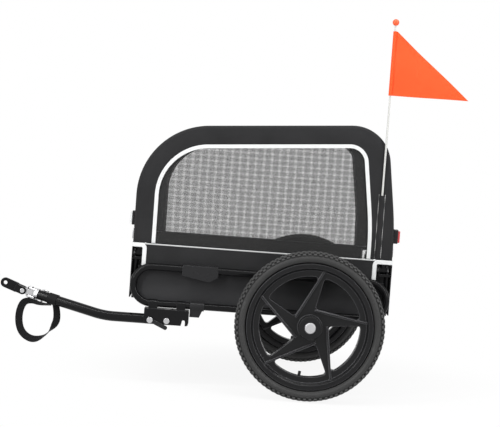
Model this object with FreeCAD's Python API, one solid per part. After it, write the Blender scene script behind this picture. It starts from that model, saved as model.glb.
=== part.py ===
import FreeCAD, Part
import math
import os

# Dog bike trailer: two spoked wheels, a low tube frame, a folding fabric cabin and a tow arm.
# Millimetres. +X points to the rear, +Y to the trailer's right, +Z up.
# The origin is on the ground, midway between the wheels and under the axle.

# Shared fits
TOUCH_GAP = 0.3
RUN_CLEARANCE = 0.05
OVERRUN = 2.0

# Wheels
LOOP_SPREAD = 240.0
WHEEL_OFFSET = 80.0
TRACK = 2 * (LOOP_SPREAD + WHEEL_OFFSET)
TYRE_DIAMETER = 400.0
TYRE_WIDTH = 47.0
AXLE_HEIGHT = TYRE_DIAMETER / 2
WHEEL_PLANE = -TRACK / 2
TYRE_WALL = 4.0
TREAD_GROOVE_WIDTH = 3.0
TREAD_GROOVE_DEPTH = 2.5
TREAD_GROOVE_OFFSET = 7.0
TYRE_DEPTH = 32.0
RIM_DIAMETER = TYRE_DIAMETER - 2 * TYRE_DEPTH
RIM_WIDTH = 38.0
RIM_FLANGE_WALL = 4.0
RIM_LIP_CHAMFER = 6.0
RIM_SEAT_DEPTH = 7.0
RIM_WELL_DEPTH = 11.0
RIM_WELL_WIDTH = 16.0
RIM_BAND_DEPTH = 18.0
SPOKE_COUNT = 5
SPOKE_THICKNESS = 22.0
WINDOW_RIM_MARGIN = 34.0
WINDOW_HUB_MARGIN = 23.0
WINDOW_LEAD_ANGLE = 77.0
WINDOW_TRAIL_ANGLE = 11.0
WINDOW_CORNER_RADIUS = 8.0
RIB_WIDTH = 4.5
RIB_HEIGHT = 4.0
RIB_SINK = 2.0
RIB_HUB_MARGIN = 18.0
RIB_HUB_ANGLE = 149.0
RIB_RIM_ANGLE = 79.5
HUB_RADIUS = 27.0
WINDOW_OUTER_RADIUS = RIM_DIAMETER / 2 - WINDOW_RIM_MARGIN
WINDOW_INNER_RADIUS = HUB_RADIUS + WINDOW_HUB_MARGIN
HUB_INNER_END = 30.0
HUB_OUTER_END = 24.0
BEARING_RADIUS = 16.0
BEARING_WIDTH = 10.0
AXLE_RADIUS = 6.0
AXLE_REACH = 86.0
AXLE_HEAD_RADIUS = 11.0
AXLE_HEAD_THICKNESS = 3.0
CAP_RADIUS = 32.0
CAP_DEPTH = 15.0
CAP_WALL = 4.0
CAP_ROUND = 5.0
BUTTON_RADIUS = 14.5
BUTTON_PROUD = 3.0
BUTTON_HEAD = 10.5
BUTTON_ROUND = 3.0
BUTTON_STEM_RADIUS = 3.0
BUTTON_STEM_LENGTH = 22.0
BUTTON_TRAVEL = 4.0
VALVE_RADIUS = 3.0
VALVE_LENGTH = 27.0
VALVE_ANGLE = -98.0
VALVE_CAP_RADIUS = 4.0
VALVE_CAP_LENGTH = 10.0

# Lower frame
LOOP_TUBE_RADIUS = 9.5
LOOP_FRONT = 479.5
LOOP_REAR = 205.5
LOOP_DEPTH = 99.0
CROSS_TUBE_RADIUS = 9.5
FRONT_CROSS_SETBACK = 95.0
REAR_CROSS_SETBACK = 75.0
AXLE_TUBE_RADIUS = 11.5
LOOP_LOW = AXLE_HEIGHT + AXLE_TUBE_RADIUS + LOOP_TUBE_RADIUS
LOOP_HIGH = LOOP_LOW + LOOP_DEPTH
AXLE_TUBE_END_GAP = 6.0
AXLE_BORE_DEPTH = 54.0
END_TUBE_RADIUS = 8.0
FLOOR_THICKNESS = 6.0
FLOOR_EDGE_GAP = 4.0

# Corner hinges of the folding sides
HINGE_RISE = 33.0
HINGE_SIDE_SET_IN = 29.0
HINGE_FRONT_SET_IN = 8.5
HINGE_REAR_SET_IN = 12.5
HINGE_HEIGHT = LOOP_HIGH + HINGE_RISE
HINGE_SPREAD = LOOP_SPREAD - HINGE_SIDE_SET_IN
HINGE_FRONT = LOOP_FRONT - HINGE_FRONT_SET_IN
HINGE_REAR = LOOP_REAR - HINGE_REAR_SET_IN
HINGE_WALL = 2.5
HINGE_BASE_THICKNESS = 7.0
HINGE_DEPTH = 24.0
HINGE_CHEEK_RISE = 16.0
HINGE_SIDE_GAP = 0.5
HINGE_PIN_RADIUS = 4.0
HINGE_HEAD_RADIUS = 6.5
HINGE_HEAD_THICKNESS = 2.5
HOOP_TUBE_RADIUS = 9.5
HOOP_FOOT_ROUND = 150.0

# Cabin cover, outside faces
CABIN_OVERHANG = 10.5
CABIN_FRONT = LOOP_FRONT + CABIN_OVERHANG
CABIN_REAR = LOOP_REAR + CABIN_OVERHANG
HEM_RISE = 28.0
HEM_HEIGHT = HINGE_HEIGHT + HEM_RISE
ROOF_FRONT_RISE = 315.4
ROOF_REAR_RISE = 365.0
REAR_BEND_RISE = 86.0
ROOF_FRONT_CORNER = HEM_HEIGHT + ROOF_FRONT_RISE
ROOF_REAR_CORNER = HEM_HEIGHT + ROOF_REAR_RISE
REAR_BEND_HEIGHT = HEM_HEIGHT + REAR_BEND_RISE
REAR_TOP_SET_IN = 38.0
FRONT_ROUND = 199.0
REAR_ROUND = 104.0
REAR_BEND_ROUND = 800.0
HEM_GAP = 0.4
COVER_THICKNESS = 2.5
COVER_STANDOFF = 16.0
PANEL_THICKNESS = 2.5
PANEL_EDGE_GAP = 1.0
PANEL_HOOP_GAP = 0.5
CABIN_HALF_WIDTH = HINGE_SPREAD + HOOP_TUBE_RADIUS + PANEL_HOOP_GAP + PANEL_THICKNESS
FRONT_SPLIT_RISE = 130.0
REAR_SPLIT_RISE = 274.0
FRONT_SPLIT_HEIGHT = HEM_HEIGHT + FRONT_SPLIT_RISE
REAR_SPLIT_HEIGHT = HEM_HEIGHT + REAR_SPLIT_RISE
SPLIT_GAP = 0.4

# Side windows
WINDOW_FRONT_MARGIN = 56.0
WINDOW_TOP_MARGIN = 56.0
WINDOW_REAR_MARGIN = 66.0
WINDOW_SILL_RISE = 10.0
WINDOW_SILL = HEM_HEIGHT + WINDOW_SILL_RISE
WINDOW_FRONT_ROUND = 140.0
WINDOW_REAR_ROUND = 45.0
WINDOW_SILL_ROUND = 6.0
MESH_THICKNESS = 1.0

# Fabric tub between the side loops
TUB_WALL = 2.0
TUB_SIDE_GAP = 1.0
TUB_RISE = 11.0
TUB_LOW = LOOP_LOW + TUB_RISE
TUB_CUT_FRONT = 34.0
TUB_CUT_REAR = 48.0
TUB_NOTCH = 20.0
TUB_NOTCH_RISE = 23.0
TUB_NOTCH_LOW = TUB_LOW + TUB_NOTCH_RISE
TUB_CUT_TOP_GAP = 8.0

# Reflectors
REFLECTOR_WIDTH = 34.0
REFLECTOR_HEIGHT = 38.0
REFLECTOR_RISE = 46.0
REFLECTOR_LOW = HEM_HEIGHT + REFLECTOR_RISE
REFLECTOR_SET_IN = 19.0
REFLECTOR_CENTRE = HINGE_SPREAD - REFLECTOR_SET_IN
REFLECTOR_HOUSING_REAR = 11.0
REFLECTOR_HOUSING_FRONT = 7.0
REFLECTOR_LENS = 6.0
REFLECTOR_LENS_BORDER = 3.0
REFLECTOR_ROUND = 4.0

# Flag
FLAG_SET_IN = 42.0
FLAG_STATION = CABIN_REAR - FLAG_SET_IN
POCKET_WIDTH = 21.0
POCKET_DEPTH = 9.0
POCKET_RISE = 4.0
POCKET_LENGTH = 171.0
POCKET_LOW = HEM_HEIGHT + POCKET_RISE
POCKET_HIGH = POCKET_LOW + POCKET_LENGTH
POCKET_FLOOR = 6.0
POCKET_ROUND = 3.5
ROD_RADIUS = 2.6
FLAG_BALL_RADIUS = 9.0
FLAG_BALL_GAP = 15.0
FLAG_HOIST_RISE = 270.0
FLAG_HEIGHT = 172.0
FLAG_HOIST_LOW = POCKET_HIGH + FLAG_HOIST_RISE
FLAG_HOIST_HIGH = FLAG_HOIST_LOW + FLAG_HEIGHT
FLAG_BALL_HEIGHT = FLAG_HOIST_HIGH + FLAG_BALL_GAP + FLAG_BALL_RADIUS
FLAG_LENGTH = 207.0
FLAG_THICKNESS = 1.4
FLAG_SLEEVE_RADIUS = 4.4
FLAG_WAVE = 9.0
FLAG_TIP_HEIGHT = 4.0
FLAG_STATION_SHARES = (0.0, 0.33, 0.67, 1.0)
FLAG_WAVE_SHARES = (0.0, 0.8, -0.7, 0.3)

# Moulded grips and the storage clip on the left loop
GRIP_SETBACK = 130.5
GRIP_FRONT = LOOP_FRONT - GRIP_SETBACK
GRIP_LENGTH = 97.0
GRIP_HALF_WIDTH = 13.0
GRIP_CROWN = 1.5
GRIP_INNER_SET_IN = 0.5
GRIP_NOSE_DROP = 17.0
GRIP_TAIL_DROP = 30.0
GRIP_TAIL_SET = 23.0
GRIP_ROUND = 6.0
GRIP_NOSE_ROUND = 4.5
CLIP_GAP = 2.0
CLIP_LENGTH = 38.0
CLIP_WALL = 3.0
CLIP_JAW_THICKNESS = 4.0
CLIP_JAW_SET_IN = 12.0

# Tow bracket and arm
ARM_RADIUS = 13.5
ARM_WALL = 2.0
ARM_DROP = 43.0
ARM_HEIGHT = LOOP_LOW - ARM_DROP
PIVOT_SETBACK = 97.5
PIVOT_STATION = LOOP_FRONT - PIVOT_SETBACK
LOCK_REACH = 45.0
LOCK_STATION = PIVOT_STATION + LOCK_REACH
ARM_TAIL = 16.0
BRACKET_NOSE = 17.0
BRACKET_TAIL = 58.0
BRACKET_DROP = 11.0
BRACKET_FRONT = LOCK_STATION + BRACKET_NOSE
BRACKET_REAR = PIVOT_STATION - BRACKET_TAIL
BRACKET_LOW = ARM_HEIGHT - BRACKET_DROP
CLIP_FRONT = BRACKET_REAR - CLIP_GAP
BRACKET_WALL = 3.0
BRACKET_SIDE_GAP = 0.4
BRACKET_ROUND = 5.0
BRACKET_TOP_GAP = 3.0
BRACKET_STRAP_WIDTH = 24.0
BRACKET_STRAP_SET_IN = 10.0
BRACKET_STRAP_WALL = 2.0
PIVOT_PIN_RADIUS = 4.0
LOCK_PIN_RADIUS = 4.0
NOTCH_CLEARANCE = 0.5
NOTCH_FLARE = 2.0
PIN_HEAD_RADIUS = 8.0
PIN_HEAD_THICKNESS = 5.0
PIN_END_REACH = 5.0
KEEPER_LENGTH = 52.0
KEEPER_HEIGHT = 11.0
KEEPER_THICKNESS = 3.5
KEEPER_DROOP = 24.0
ARM_STRAIGHT = 170.0
ARM_END_REACH = 187.0
ARM_END_RISE = 37.0
ARM_END_SET_IN = 50.0
ARM_BEND_STATION = PIVOT_STATION + ARM_STRAIGHT
ARM_END_STATION = ARM_BEND_STATION + ARM_END_REACH
ARM_END_HEIGHT = ARM_HEIGHT + ARM_END_RISE
ARM_END_SPREAD = LOOP_SPREAD - ARM_END_SET_IN
ARM_BEND_RADIUS = 170.0

# Hitch coupling
SHANK_RADIUS = 11.3
SHANK_LENGTH = 42.0
COLLAR_RADIUS = 15.5
COLLAR_LENGTH = 9.0
EAR_REACH = 29.0
EAR_WIDTH = 21.0
EAR_THICKNESS = 5.0
YAW_PIN_DISTANCE = 26.0
PITCH_PIN_DISTANCE = 21.0
CROSS_HALF = 8.0
CROSS_END = 8.0
COUPLER_GAP = 0.4
COUPLER_PIN_RADIUS = 4.0
COUPLER_PIN_HEAD = 6.0
COUPLER_HEAD_THICKNESS = 2.5
HITCH_TILT = 20.0
HITCH_EAR_LENGTH = 22.0
HITCH_BRIDGE = 5.0
PLATE_THICKNESS = 5.0
PLATE_HEIGHT = 27.0
PLATE_HOLE_DISTANCE = 30.0
AXLE_HOLE_RADIUS = 5.25
RING_PIN_RADIUS = 3.0
RING_PIN_SET_BACK = 12.0
RING_PIN_REACH = 19.0
RING_RADIUS = 7.0
RING_WIRE_RADIUS = 1.3
RING_TILT_SHARE = 0.25
RING_PIN_HEAD_RADIUS = 5.0
RING_PIN_HEAD_THICKNESS = 4.0

# Safety strap
STRAP_WIDTH = 20.0
STRAP_THICKNESS = 2.0
STRAP_COLLAR_WALL = 2.0
STRAP_COLLAR_WIDTH = 26.0
STRAP_COLLAR_SET_BACK = 44.0
# Each corner of the route is rounded along this share of its shorter run
ROUTE_ARC_SHARE = 0.45
# Route seen from the left, from the collar forward, down and back:
# distance ahead of the arm's end and height above it.
STRAP_ROUTE = (
    (-36.0, -25.0),
    (-10.0, -24.0),
    (16.0, -16.0),
    (38.0, -18.0),
    (49.0, -45.0),
    (49.0, -80.0),
    (37.0, -108.0),
    (8.0, -124.0),
    (-23.0, -112.0),
    (-46.0, -86.0),
    (-58.0, -56.0),
    (-49.0, -26.0),
)


def vec(x, y, z):
    return FreeCAD.Vector(x, y, z)


def cylinder(start, end, radius):
    """A solid rod between two points."""
    run = end - start
    return Part.makeCylinder(radius, run.Length, start, run)


def box(x_low, x_high, y_low, y_high, z_low, z_high):
    return Part.makeBox(x_high - x_low, y_high - y_low, z_high - z_low, vec(x_low, y_low, z_low))


def rounded_edges(points, radii, closed):
    """Straight runs joined by tangent arcs. A radius of zero keeps the corner sharp."""
    count = len(points)
    starts, ends, arcs = [], [], []
    for index, point in enumerate(points):
        radius = radii[index]
        inner = closed or 0 < index < count - 1
        if radius == 0 or not inner:
            starts.append(point)
            ends.append(point)
            arcs.append(None)
            continue
        back = (points[index - 1] - point).normalize()
        ahead = (points[(index + 1) % count] - point).normalize()
        half = back.getAngle(ahead) / 2
        reach = radius / math.tan(half)
        bisector = (back + ahead).normalize()
        middle = point + bisector * (radius / math.sin(half) - radius)
        starts.append(point + back * reach)
        ends.append(point + ahead * reach)
        arcs.append(Part.Arc(starts[-1], middle, ends[-1]).toShape())
    edges = []
    for index in range(count):
        if arcs[index]:
            edges.append(arcs[index])
        following = (index + 1) % count
        last = index == count - 1
        if (closed or not last) and (starts[following] - ends[index]).Length > RUN_CLEARANCE:
            edges.append(Part.LineSegment(ends[index], starts[following]).toShape())
    return edges


def side_face(points, radii, spread):
    """A face in a fore-and-aft upright plane, from (station, height) points."""
    corners = [vec(station, spread, height) for station, height in points]
    return Part.Face(Part.Wire(rounded_edges(corners, radii, True)))


def side_prism(points, radii, spread_low, spread_high):
    face = side_face(points, radii, spread_low)
    return face.extrude(vec(0, spread_high - spread_low, 0))


def pipe(edges, radius):
    """A round bar along a path of lines and arcs."""
    path = Part.Wire(edges)
    start = path.OrderedVertexes[0].Point
    heading = path.OrderedEdges[0].tangentAt(path.OrderedEdges[0].FirstParameter)
    if path.OrderedEdges[0].Orientation == "Reversed":
        heading = heading * -1
    ring = Part.Wire(Part.makeCircle(radius, start, heading))
    return path.makePipeShell([ring], True, False)


def mirrored(shape):
    """The same piece on the other side of the middle plane."""
    return shape.mirror(vec(0, 0, 0), vec(0, 1, 0))


def save(name, *solids):
    shape = solids[0] if len(solids) == 1 else Part.makeCompound(list(solids))
    shape.exportStep("parts/" + name + ".step")


def polar(radius, degrees):
    """A (station, height) point round the wheel centre, anticlockwise from the rear."""
    turn = math.radians(degrees)
    return radius * math.cos(turn), TYRE_DIAMETER / 2 + radius * math.sin(turn)


def ring_of(points):
    """Turns a profile of (distance outward, radius) points about the left wheel's axis."""
    corners = [vec(0, WHEEL_PLANE - out, AXLE_HEIGHT + radius) for out, radius in points]
    face = Part.Face(Part.makePolygon(corners + corners[:1]))
    return face.revolve(vec(0, WHEEL_PLANE, AXLE_HEIGHT), vec(0, 1, 0), 360)


def hub_cylinder(out_low, out_high, radius):
    start = vec(0, WHEEL_PLANE - out_low, AXLE_HEIGHT)
    end = vec(0, WHEEL_PLANE - out_high, AXLE_HEIGHT)
    return cylinder(start, end, radius)


def tyre():
    rim_radius = RIM_DIAMETER / 2
    section = TYRE_WIDTH / 2
    centre = vec(0, WHEEL_PLANE, AXLE_HEIGHT)
    axis = vec(0, 1, 0)
    ring_radius = TYRE_DIAMETER / 2 - section
    carcass = Part.makeTorus(ring_radius, section, centre, axis)
    carcass = carcass.cut(Part.makeTorus(ring_radius, section - TYRE_WALL, centre, axis))
    carcass = carcass.cut(hub_cylinder(-TYRE_WIDTH, TYRE_WIDTH, rim_radius))
    outer = TYRE_DIAMETER / 2 + OVERRUN
    for side in (-1, 1):
        middle = side * TREAD_GROOVE_OFFSET
        rise = section - math.sqrt(section ** 2 - TREAD_GROOVE_OFFSET ** 2)
        floor = TYRE_DIAMETER / 2 - rise - TREAD_GROOVE_DEPTH
        low = middle - TREAD_GROOVE_WIDTH / 2
        high = middle + TREAD_GROOVE_WIDTH / 2
        carcass = carcass.cut(ring_of([(low, floor), (high, floor), (high, outer), (low, outer)]))
    return carcass


def spoke_window():
    """One of the openings between the spokes: two straight sides and a round outer side."""
    middle = (WINDOW_LEAD_ANGLE + WINDOW_TRAIL_ANGLE) / 2
    near = WHEEL_PLANE - SPOKE_THICKNESS / 2 - OVERRUN
    corners = []
    for radius, angle in (
            (WINDOW_INNER_RADIUS, WINDOW_LEAD_ANGLE), (WINDOW_OUTER_RADIUS, WINDOW_LEAD_ANGLE),
            (WINDOW_OUTER_RADIUS, middle), (WINDOW_OUTER_RADIUS, WINDOW_TRAIL_ANGLE)):
        station, height = polar(radius, angle)
        corners.append(vec(station, near, height))
    outline = Part.Wire([
        Part.LineSegment(corners[0], corners[1]).toShape(),
        Part.Arc(corners[1], corners[2], corners[3]).toShape(),
        Part.LineSegment(corners[3], corners[0]).toShape(),
    ])
    depth = SPOKE_THICKNESS + 2 * OVERRUN
    opening = Part.Face(outline).extrude(vec(0, depth, 0))
    through = [edge for edge in opening.Edges if edge.BoundBox.YLength > SPOKE_THICKNESS]
    return opening.makeFillet(WINDOW_CORNER_RADIUS, through)


def spoke_rib(side):
    """A raised rib along one face of a spoke, tangent to the hub."""
    foot_x, foot_z = polar(HUB_RADIUS + RIB_HUB_MARGIN, RIB_HUB_ANGLE)
    tip_x, tip_z = polar(RIM_DIAMETER / 2 - RIM_BAND_DEPTH + RIB_SINK, RIB_RIM_ANGLE)
    run = vec(tip_x - foot_x, 0, tip_z - foot_z)
    across = vec(-run.z, 0, run.x).normalize() * (RIB_WIDTH / 2)
    foot = vec(foot_x, WHEEL_PLANE, foot_z)
    tip = vec(tip_x, WHEEL_PLANE, tip_z)
    corners = [foot + across, tip + across, tip - across, foot - across]
    face = Part.Face(Part.makePolygon(corners + corners[:1]))
    return face.extrude(vec(0, side * (SPOKE_THICKNESS / 2 + RIB_HEIGHT), 0))


def turned(shape, centre, degrees):
    """A copy turned about the wheel's axis."""
    copy = shape.copy()
    copy.rotate(centre, vec(0, 1, 0), degrees)
    return copy


def rim():
    edge = RIM_DIAMETER / 2
    half = RIM_WIDTH / 2
    lip = half - RIM_LIP_CHAMFER
    flange = half - RIM_FLANGE_WALL
    seat = edge - RIM_SEAT_DEPTH
    well = edge - RIM_WELL_DEPTH
    well_half = RIM_WELL_WIDTH / 2
    inner = edge - RIM_BAND_DEPTH
    band = ring_of([
        (-lip, inner), (-half, inner + RIM_LIP_CHAMFER), (-half, edge), (-flange, edge), (-flange, seat),
        (-well_half, well), (well_half, well), (flange, seat), (flange, edge), (half, edge),
        (half, inner + RIM_LIP_CHAMFER), (lip, inner),
    ])
    web = hub_cylinder(-SPOKE_THICKNESS / 2, SPOKE_THICKNESS / 2, inner + RIM_FLANGE_WALL)
    hub = hub_cylinder(-HUB_INNER_END, HUB_OUTER_END, HUB_RADIUS)
    boss = hub_cylinder(0, HUB_OUTER_END, CAP_RADIUS)
    centre = vec(0, WHEEL_PLANE, AXLE_HEIGHT)
    window = spoke_window()
    windows = []
    ribs = []
    for index in range(SPOKE_COUNT):
        turn = index * 360 / SPOKE_COUNT
        windows.append(turned(window, centre, turn))
        for side in (-1, 1):
            ribs.append(turned(spoke_rib(side), centre, turn))
    web = web.cut(Part.makeCompound(windows))
    wheel = band.fuse([web, hub, boss] + ribs)
    pocket = BEARING_RADIUS + RUN_CLEARANCE
    wheel = wheel.cut(hub_cylinder(HUB_OUTER_END - BEARING_WIDTH, HUB_OUTER_END + OVERRUN, pocket))
    wheel = wheel.cut(hub_cylinder(-HUB_INNER_END - OVERRUN, BEARING_WIDTH - HUB_INNER_END, pocket))
    wheel = wheel.cut(hub_cylinder(-HUB_INNER_END, HUB_OUTER_END, AXLE_HEAD_RADIUS))
    hole_x, hole_z = polar(RIM_DIAMETER / 2, VALVE_ANGLE)
    hole = cylinder(centre, vec(hole_x, WHEEL_PLANE, hole_z), VALVE_RADIUS + RUN_CLEARANCE)
    keep_x, keep_z = polar(WINDOW_OUTER_RADIUS - VALVE_LENGTH, VALVE_ANGLE)
    keep = cylinder(centre, vec(keep_x, WHEEL_PLANE, keep_z), VALVE_RADIUS + OVERRUN)
    return wheel.cut(hole.cut(keep)).removeSplitter()


def valve():
    outer = RIM_DIAMETER / 2 - RIM_WELL_DEPTH
    tip = outer - RIM_BAND_DEPTH - VALVE_LENGTH + VALVE_CAP_LENGTH
    points = []
    for radius in (outer, tip + VALVE_CAP_LENGTH, tip):
        station, height = polar(radius, VALVE_ANGLE)
        points.append(vec(station, WHEEL_PLANE, height))
    stem = cylinder(points[0], points[1], VALVE_RADIUS)
    return stem.fuse(cylinder(points[1], points[2], VALVE_CAP_RADIUS)).removeSplitter()


def bearings():
    bore = AXLE_RADIUS + RUN_CLEARANCE
    outer_low = HUB_OUTER_END - BEARING_WIDTH
    outer = hub_cylinder(outer_low, HUB_OUTER_END, BEARING_RADIUS)
    inner = hub_cylinder(-HUB_INNER_END, BEARING_WIDTH - HUB_INNER_END, BEARING_RADIUS)
    hole = hub_cylinder(-HUB_INNER_END - OVERRUN, HUB_OUTER_END + OVERRUN, bore)
    return outer.cut(hole), inner.cut(hole)


def hub_cap():
    top = HUB_OUTER_END + CAP_DEPTH
    shell = hub_cylinder(HUB_OUTER_END, top, CAP_RADIUS)
    rim_edge = [edge for edge in shell.Edges if edge.BoundBox.YMax < WHEEL_PLANE - top + TOUCH_GAP]
    shell = shell.makeFillet(CAP_ROUND, rim_edge)
    shell = shell.cut(hub_cylinder(HUB_OUTER_END - OVERRUN, top - CAP_WALL, CAP_RADIUS - CAP_WALL))
    return shell.cut(hub_cylinder(HUB_OUTER_END, top + OVERRUN, BUTTON_RADIUS + TOUCH_GAP))


def button():
    top = HUB_OUTER_END + CAP_DEPTH + BUTTON_PROUD
    head = hub_cylinder(top - BUTTON_HEAD, top, BUTTON_RADIUS)
    front = [edge for edge in head.Edges if edge.BoundBox.YMax < WHEEL_PLANE - top + TOUCH_GAP]
    head = head.makeFillet(BUTTON_ROUND, front)
    stem_end = top - BUTTON_HEAD - BUTTON_STEM_LENGTH
    return head.fuse(hub_cylinder(stem_end, top - BUTTON_HEAD, BUTTON_STEM_RADIUS)).removeSplitter()


def axle():
    head_low = HUB_OUTER_END + TOUCH_GAP
    head_high = head_low + AXLE_HEAD_THICKNESS
    rod = hub_cylinder(-AXLE_REACH, head_low, AXLE_RADIUS)
    rod = rod.fuse(hub_cylinder(head_low, head_high, AXLE_HEAD_RADIUS))
    stem_end = HUB_OUTER_END + CAP_DEPTH + BUTTON_PROUD - BUTTON_HEAD - BUTTON_STEM_LENGTH
    bore_end = stem_end - BUTTON_TRAVEL - TOUCH_GAP
    bore = hub_cylinder(bore_end, head_high + OVERRUN, BUTTON_STEM_RADIUS + RUN_CLEARANCE)
    return rod.cut(bore).removeSplitter()


def side_loop():
    """The left racetrack tube."""
    bend = (LOOP_HIGH - LOOP_LOW) / 2
    front = -LOOP_FRONT + bend
    rear = LOOP_REAR - bend
    middle = LOOP_LOW + bend
    spread = -LOOP_SPREAD
    runs = []
    for height in (LOOP_LOW, LOOP_HIGH):
        runs.append(cylinder(vec(front, spread, height), vec(rear, spread, height), LOOP_TUBE_RADIUS))
    for station, side in ((front, -1), (rear, 1)):
        ring = Part.makeTorus(bend, LOOP_TUBE_RADIUS, vec(station, spread, middle), vec(0, 1, 0))
        reach = bend + LOOP_TUBE_RADIUS + OVERRUN
        ends = sorted((station, station + side * reach))
        half = box(ends[0], ends[1], spread - reach, spread + reach, middle - reach, middle + reach)
        runs.append(ring.common(half))
    return runs[0].fuse(runs[1:]).removeSplitter()


def cross_tube(station, loops):
    left = vec(station, -LOOP_SPREAD, LOOP_LOW)
    right = vec(station, LOOP_SPREAD, LOOP_LOW)
    return cylinder(left, right, CROSS_TUBE_RADIUS).cut(loops)


def axle_tube():
    end = TRACK / 2 - HUB_INNER_END - AXLE_TUBE_END_GAP
    tube = cylinder(vec(0, -end, AXLE_HEIGHT), vec(0, end, AXLE_HEIGHT), AXLE_TUBE_RADIUS)
    for side in (-1, 1):
        mouth = vec(0, side * (end + OVERRUN), AXLE_HEIGHT)
        floor = vec(0, side * (end - AXLE_BORE_DEPTH), AXLE_HEIGHT)
        tube = tube.cut(cylinder(mouth, floor, AXLE_RADIUS + RUN_CLEARANCE))
    return tube


def end_frame(station, loops):
    """A cross bar between the loop ends with a post under each corner hinge."""
    middle = (LOOP_LOW + LOOP_HIGH) / 2
    left = vec(station, -LOOP_SPREAD, middle)
    right = vec(station, LOOP_SPREAD, middle)
    frame = cylinder(left, right, END_TUBE_RADIUS)
    foot = HINGE_HEIGHT - HOOP_TUBE_RADIUS - HINGE_SIDE_GAP - HINGE_BASE_THICKNESS
    for side in (-1, 1):
        low = vec(station, side * HINGE_SPREAD, middle)
        high = vec(station, side * HINGE_SPREAD, foot)
        frame = frame.fuse(cylinder(low, high, END_TUBE_RADIUS))
    return frame.cut(loops).removeSplitter()


def hinge_bracket(station, loop_station):
    """A left corner bracket: a base plate on the post and two cheeks."""
    half = HOOP_TUBE_RADIUS + HINGE_SIDE_GAP
    base_high = HINGE_HEIGHT - HOOP_TUBE_RADIUS - HINGE_SIDE_GAP
    base_low = base_high - HINGE_BASE_THICKNESS
    near = -HINGE_SPREAD - HINGE_DEPTH / 2
    far = -HINGE_SPREAD + HINGE_DEPTH / 2
    low = min(station - half - HINGE_WALL, loop_station - END_TUBE_RADIUS)
    high = max(station + half + HINGE_WALL, loop_station + END_TUBE_RADIUS)
    bracket = box(low, high, near, far, base_low, base_high)
    top = HINGE_HEIGHT + HINGE_CHEEK_RISE
    for side in (-1, 1):
        ends = sorted((station + side * half, station + side * (half + HINGE_WALL)))
        cheek = box(ends[0], ends[1], near, far, base_low, top)
        top_corners = []
        for edge in cheek.Edges:
            limits = edge.BoundBox
            if limits.ZMin > top - TOUCH_GAP and limits.XLength > limits.YLength:
                top_corners.append(edge)
        bracket = bracket.fuse(cheek.makeFillet(HINGE_DEPTH / 2 - TOUCH_GAP, top_corners))
    hole = HINGE_PIN_RADIUS + RUN_CLEARANCE
    reach = half + HINGE_WALL + OVERRUN
    bore_low = vec(station - reach, -HINGE_SPREAD, HINGE_HEIGHT)
    bore_high = vec(station + reach, -HINGE_SPREAD, HINGE_HEIGHT)
    return bracket.cut(cylinder(bore_low, bore_high, hole)).removeSplitter()


def hinge_bolt(station):
    half = HOOP_TUBE_RADIUS + HINGE_SIDE_GAP + HINGE_WALL
    low = vec(station - half, -HINGE_SPREAD, HINGE_HEIGHT)
    high = vec(station + half, -HINGE_SPREAD, HINGE_HEIGHT)
    bolt = cylinder(low, high, HINGE_PIN_RADIUS)
    head = vec(HINGE_HEAD_THICKNESS, 0, 0)
    bolt = bolt.fuse(cylinder(low - head, low, HINGE_HEAD_RADIUS))
    bolt = bolt.fuse(cylinder(high, high + head, HINGE_HEAD_RADIUS))
    return bolt.removeSplitter()


def cabin_corners(inset, foot):
    """The cabin's side outline, inset evenly, from the front foot over the roof to the rear foot."""
    outer = [
        (-CABIN_FRONT, foot),
        (-CABIN_FRONT, ROOF_FRONT_CORNER),
        (CABIN_REAR - REAR_TOP_SET_IN, ROOF_REAR_CORNER),
        (CABIN_REAR, REAR_BEND_HEIGHT),
        (CABIN_REAR, foot),
    ]
    return inset_corners(outer, [inset] * (len(outer) - 1))


def inset_corners(outer, insets):
    """Moves each side of an open outline to its right by its own inset and joins the sides again."""
    lines = []
    for index, inset in enumerate(insets):
        (x_one, z_one), (x_two, z_two) = outer[index], outer[index + 1]
        length = math.hypot(x_two - x_one, z_two - z_one)
        along = ((x_two - x_one) / length, (z_two - z_one) / length)
        shift = (along[1] * inset, -along[0] * inset)
        lines.append(((x_one + shift[0], z_one + shift[1]), along))
    corners = [lines[0][0]]
    for (start, along), (other, turn) in zip(lines, lines[1:]):
        cross = along[0] * turn[1] - along[1] * turn[0]
        reach = ((other[0] - start[0]) * turn[1] - (other[1] - start[1]) * turn[0]) / cross
        corners.append((start[0] + along[0] * reach, start[1] + along[1] * reach))
    (start, along) = lines[-1]
    reach = (outer[-1][1] - start[1]) / along[1]
    corners.append((start[0] + along[0] * reach, outer[-1][1]))
    return corners


def cabin_radii(inset):
    return [0, FRONT_ROUND - inset, REAR_ROUND - inset, REAR_BEND_ROUND - inset, 0]


def cover_band():
    """The cover's front, roof and back as one sheet, wrapped over the hoops."""
    foot = HEM_HEIGHT + HEM_GAP
    outer = side_prism(cabin_corners(0, foot), cabin_radii(0), -CABIN_HALF_WIDTH, CABIN_HALF_WIDTH)
    inner = side_prism(
        cabin_corners(COVER_THICKNESS, foot - OVERRUN), cabin_radii(COVER_THICKNESS),
        -CABIN_HALF_WIDTH - OVERRUN, CABIN_HALF_WIDTH + OVERRUN)
    return outer.cut(inner)


def cover_pieces():
    band = cover_band()
    side = CABIN_HALF_WIDTH + OVERRUN
    middle = (CABIN_REAR - CABIN_FRONT) / 2
    front_cut = box(-CABIN_FRONT - OVERRUN, middle, -side, side, 0, FRONT_SPLIT_HEIGHT)
    rear_cut = box(middle, CABIN_REAR + OVERRUN, -side, side, 0, REAR_SPLIT_HEIGHT)
    front_roof_cut = box(-CABIN_FRONT - OVERRUN, middle, -side, side, 0, FRONT_SPLIT_HEIGHT + SPLIT_GAP)
    rear_roof_cut = box(middle, CABIN_REAR + OVERRUN, -side, side, 0, REAR_SPLIT_HEIGHT + SPLIT_GAP)
    return band.common(front_cut), band.cut(front_roof_cut.fuse(rear_roof_cut)), band.common(rear_cut)


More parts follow.
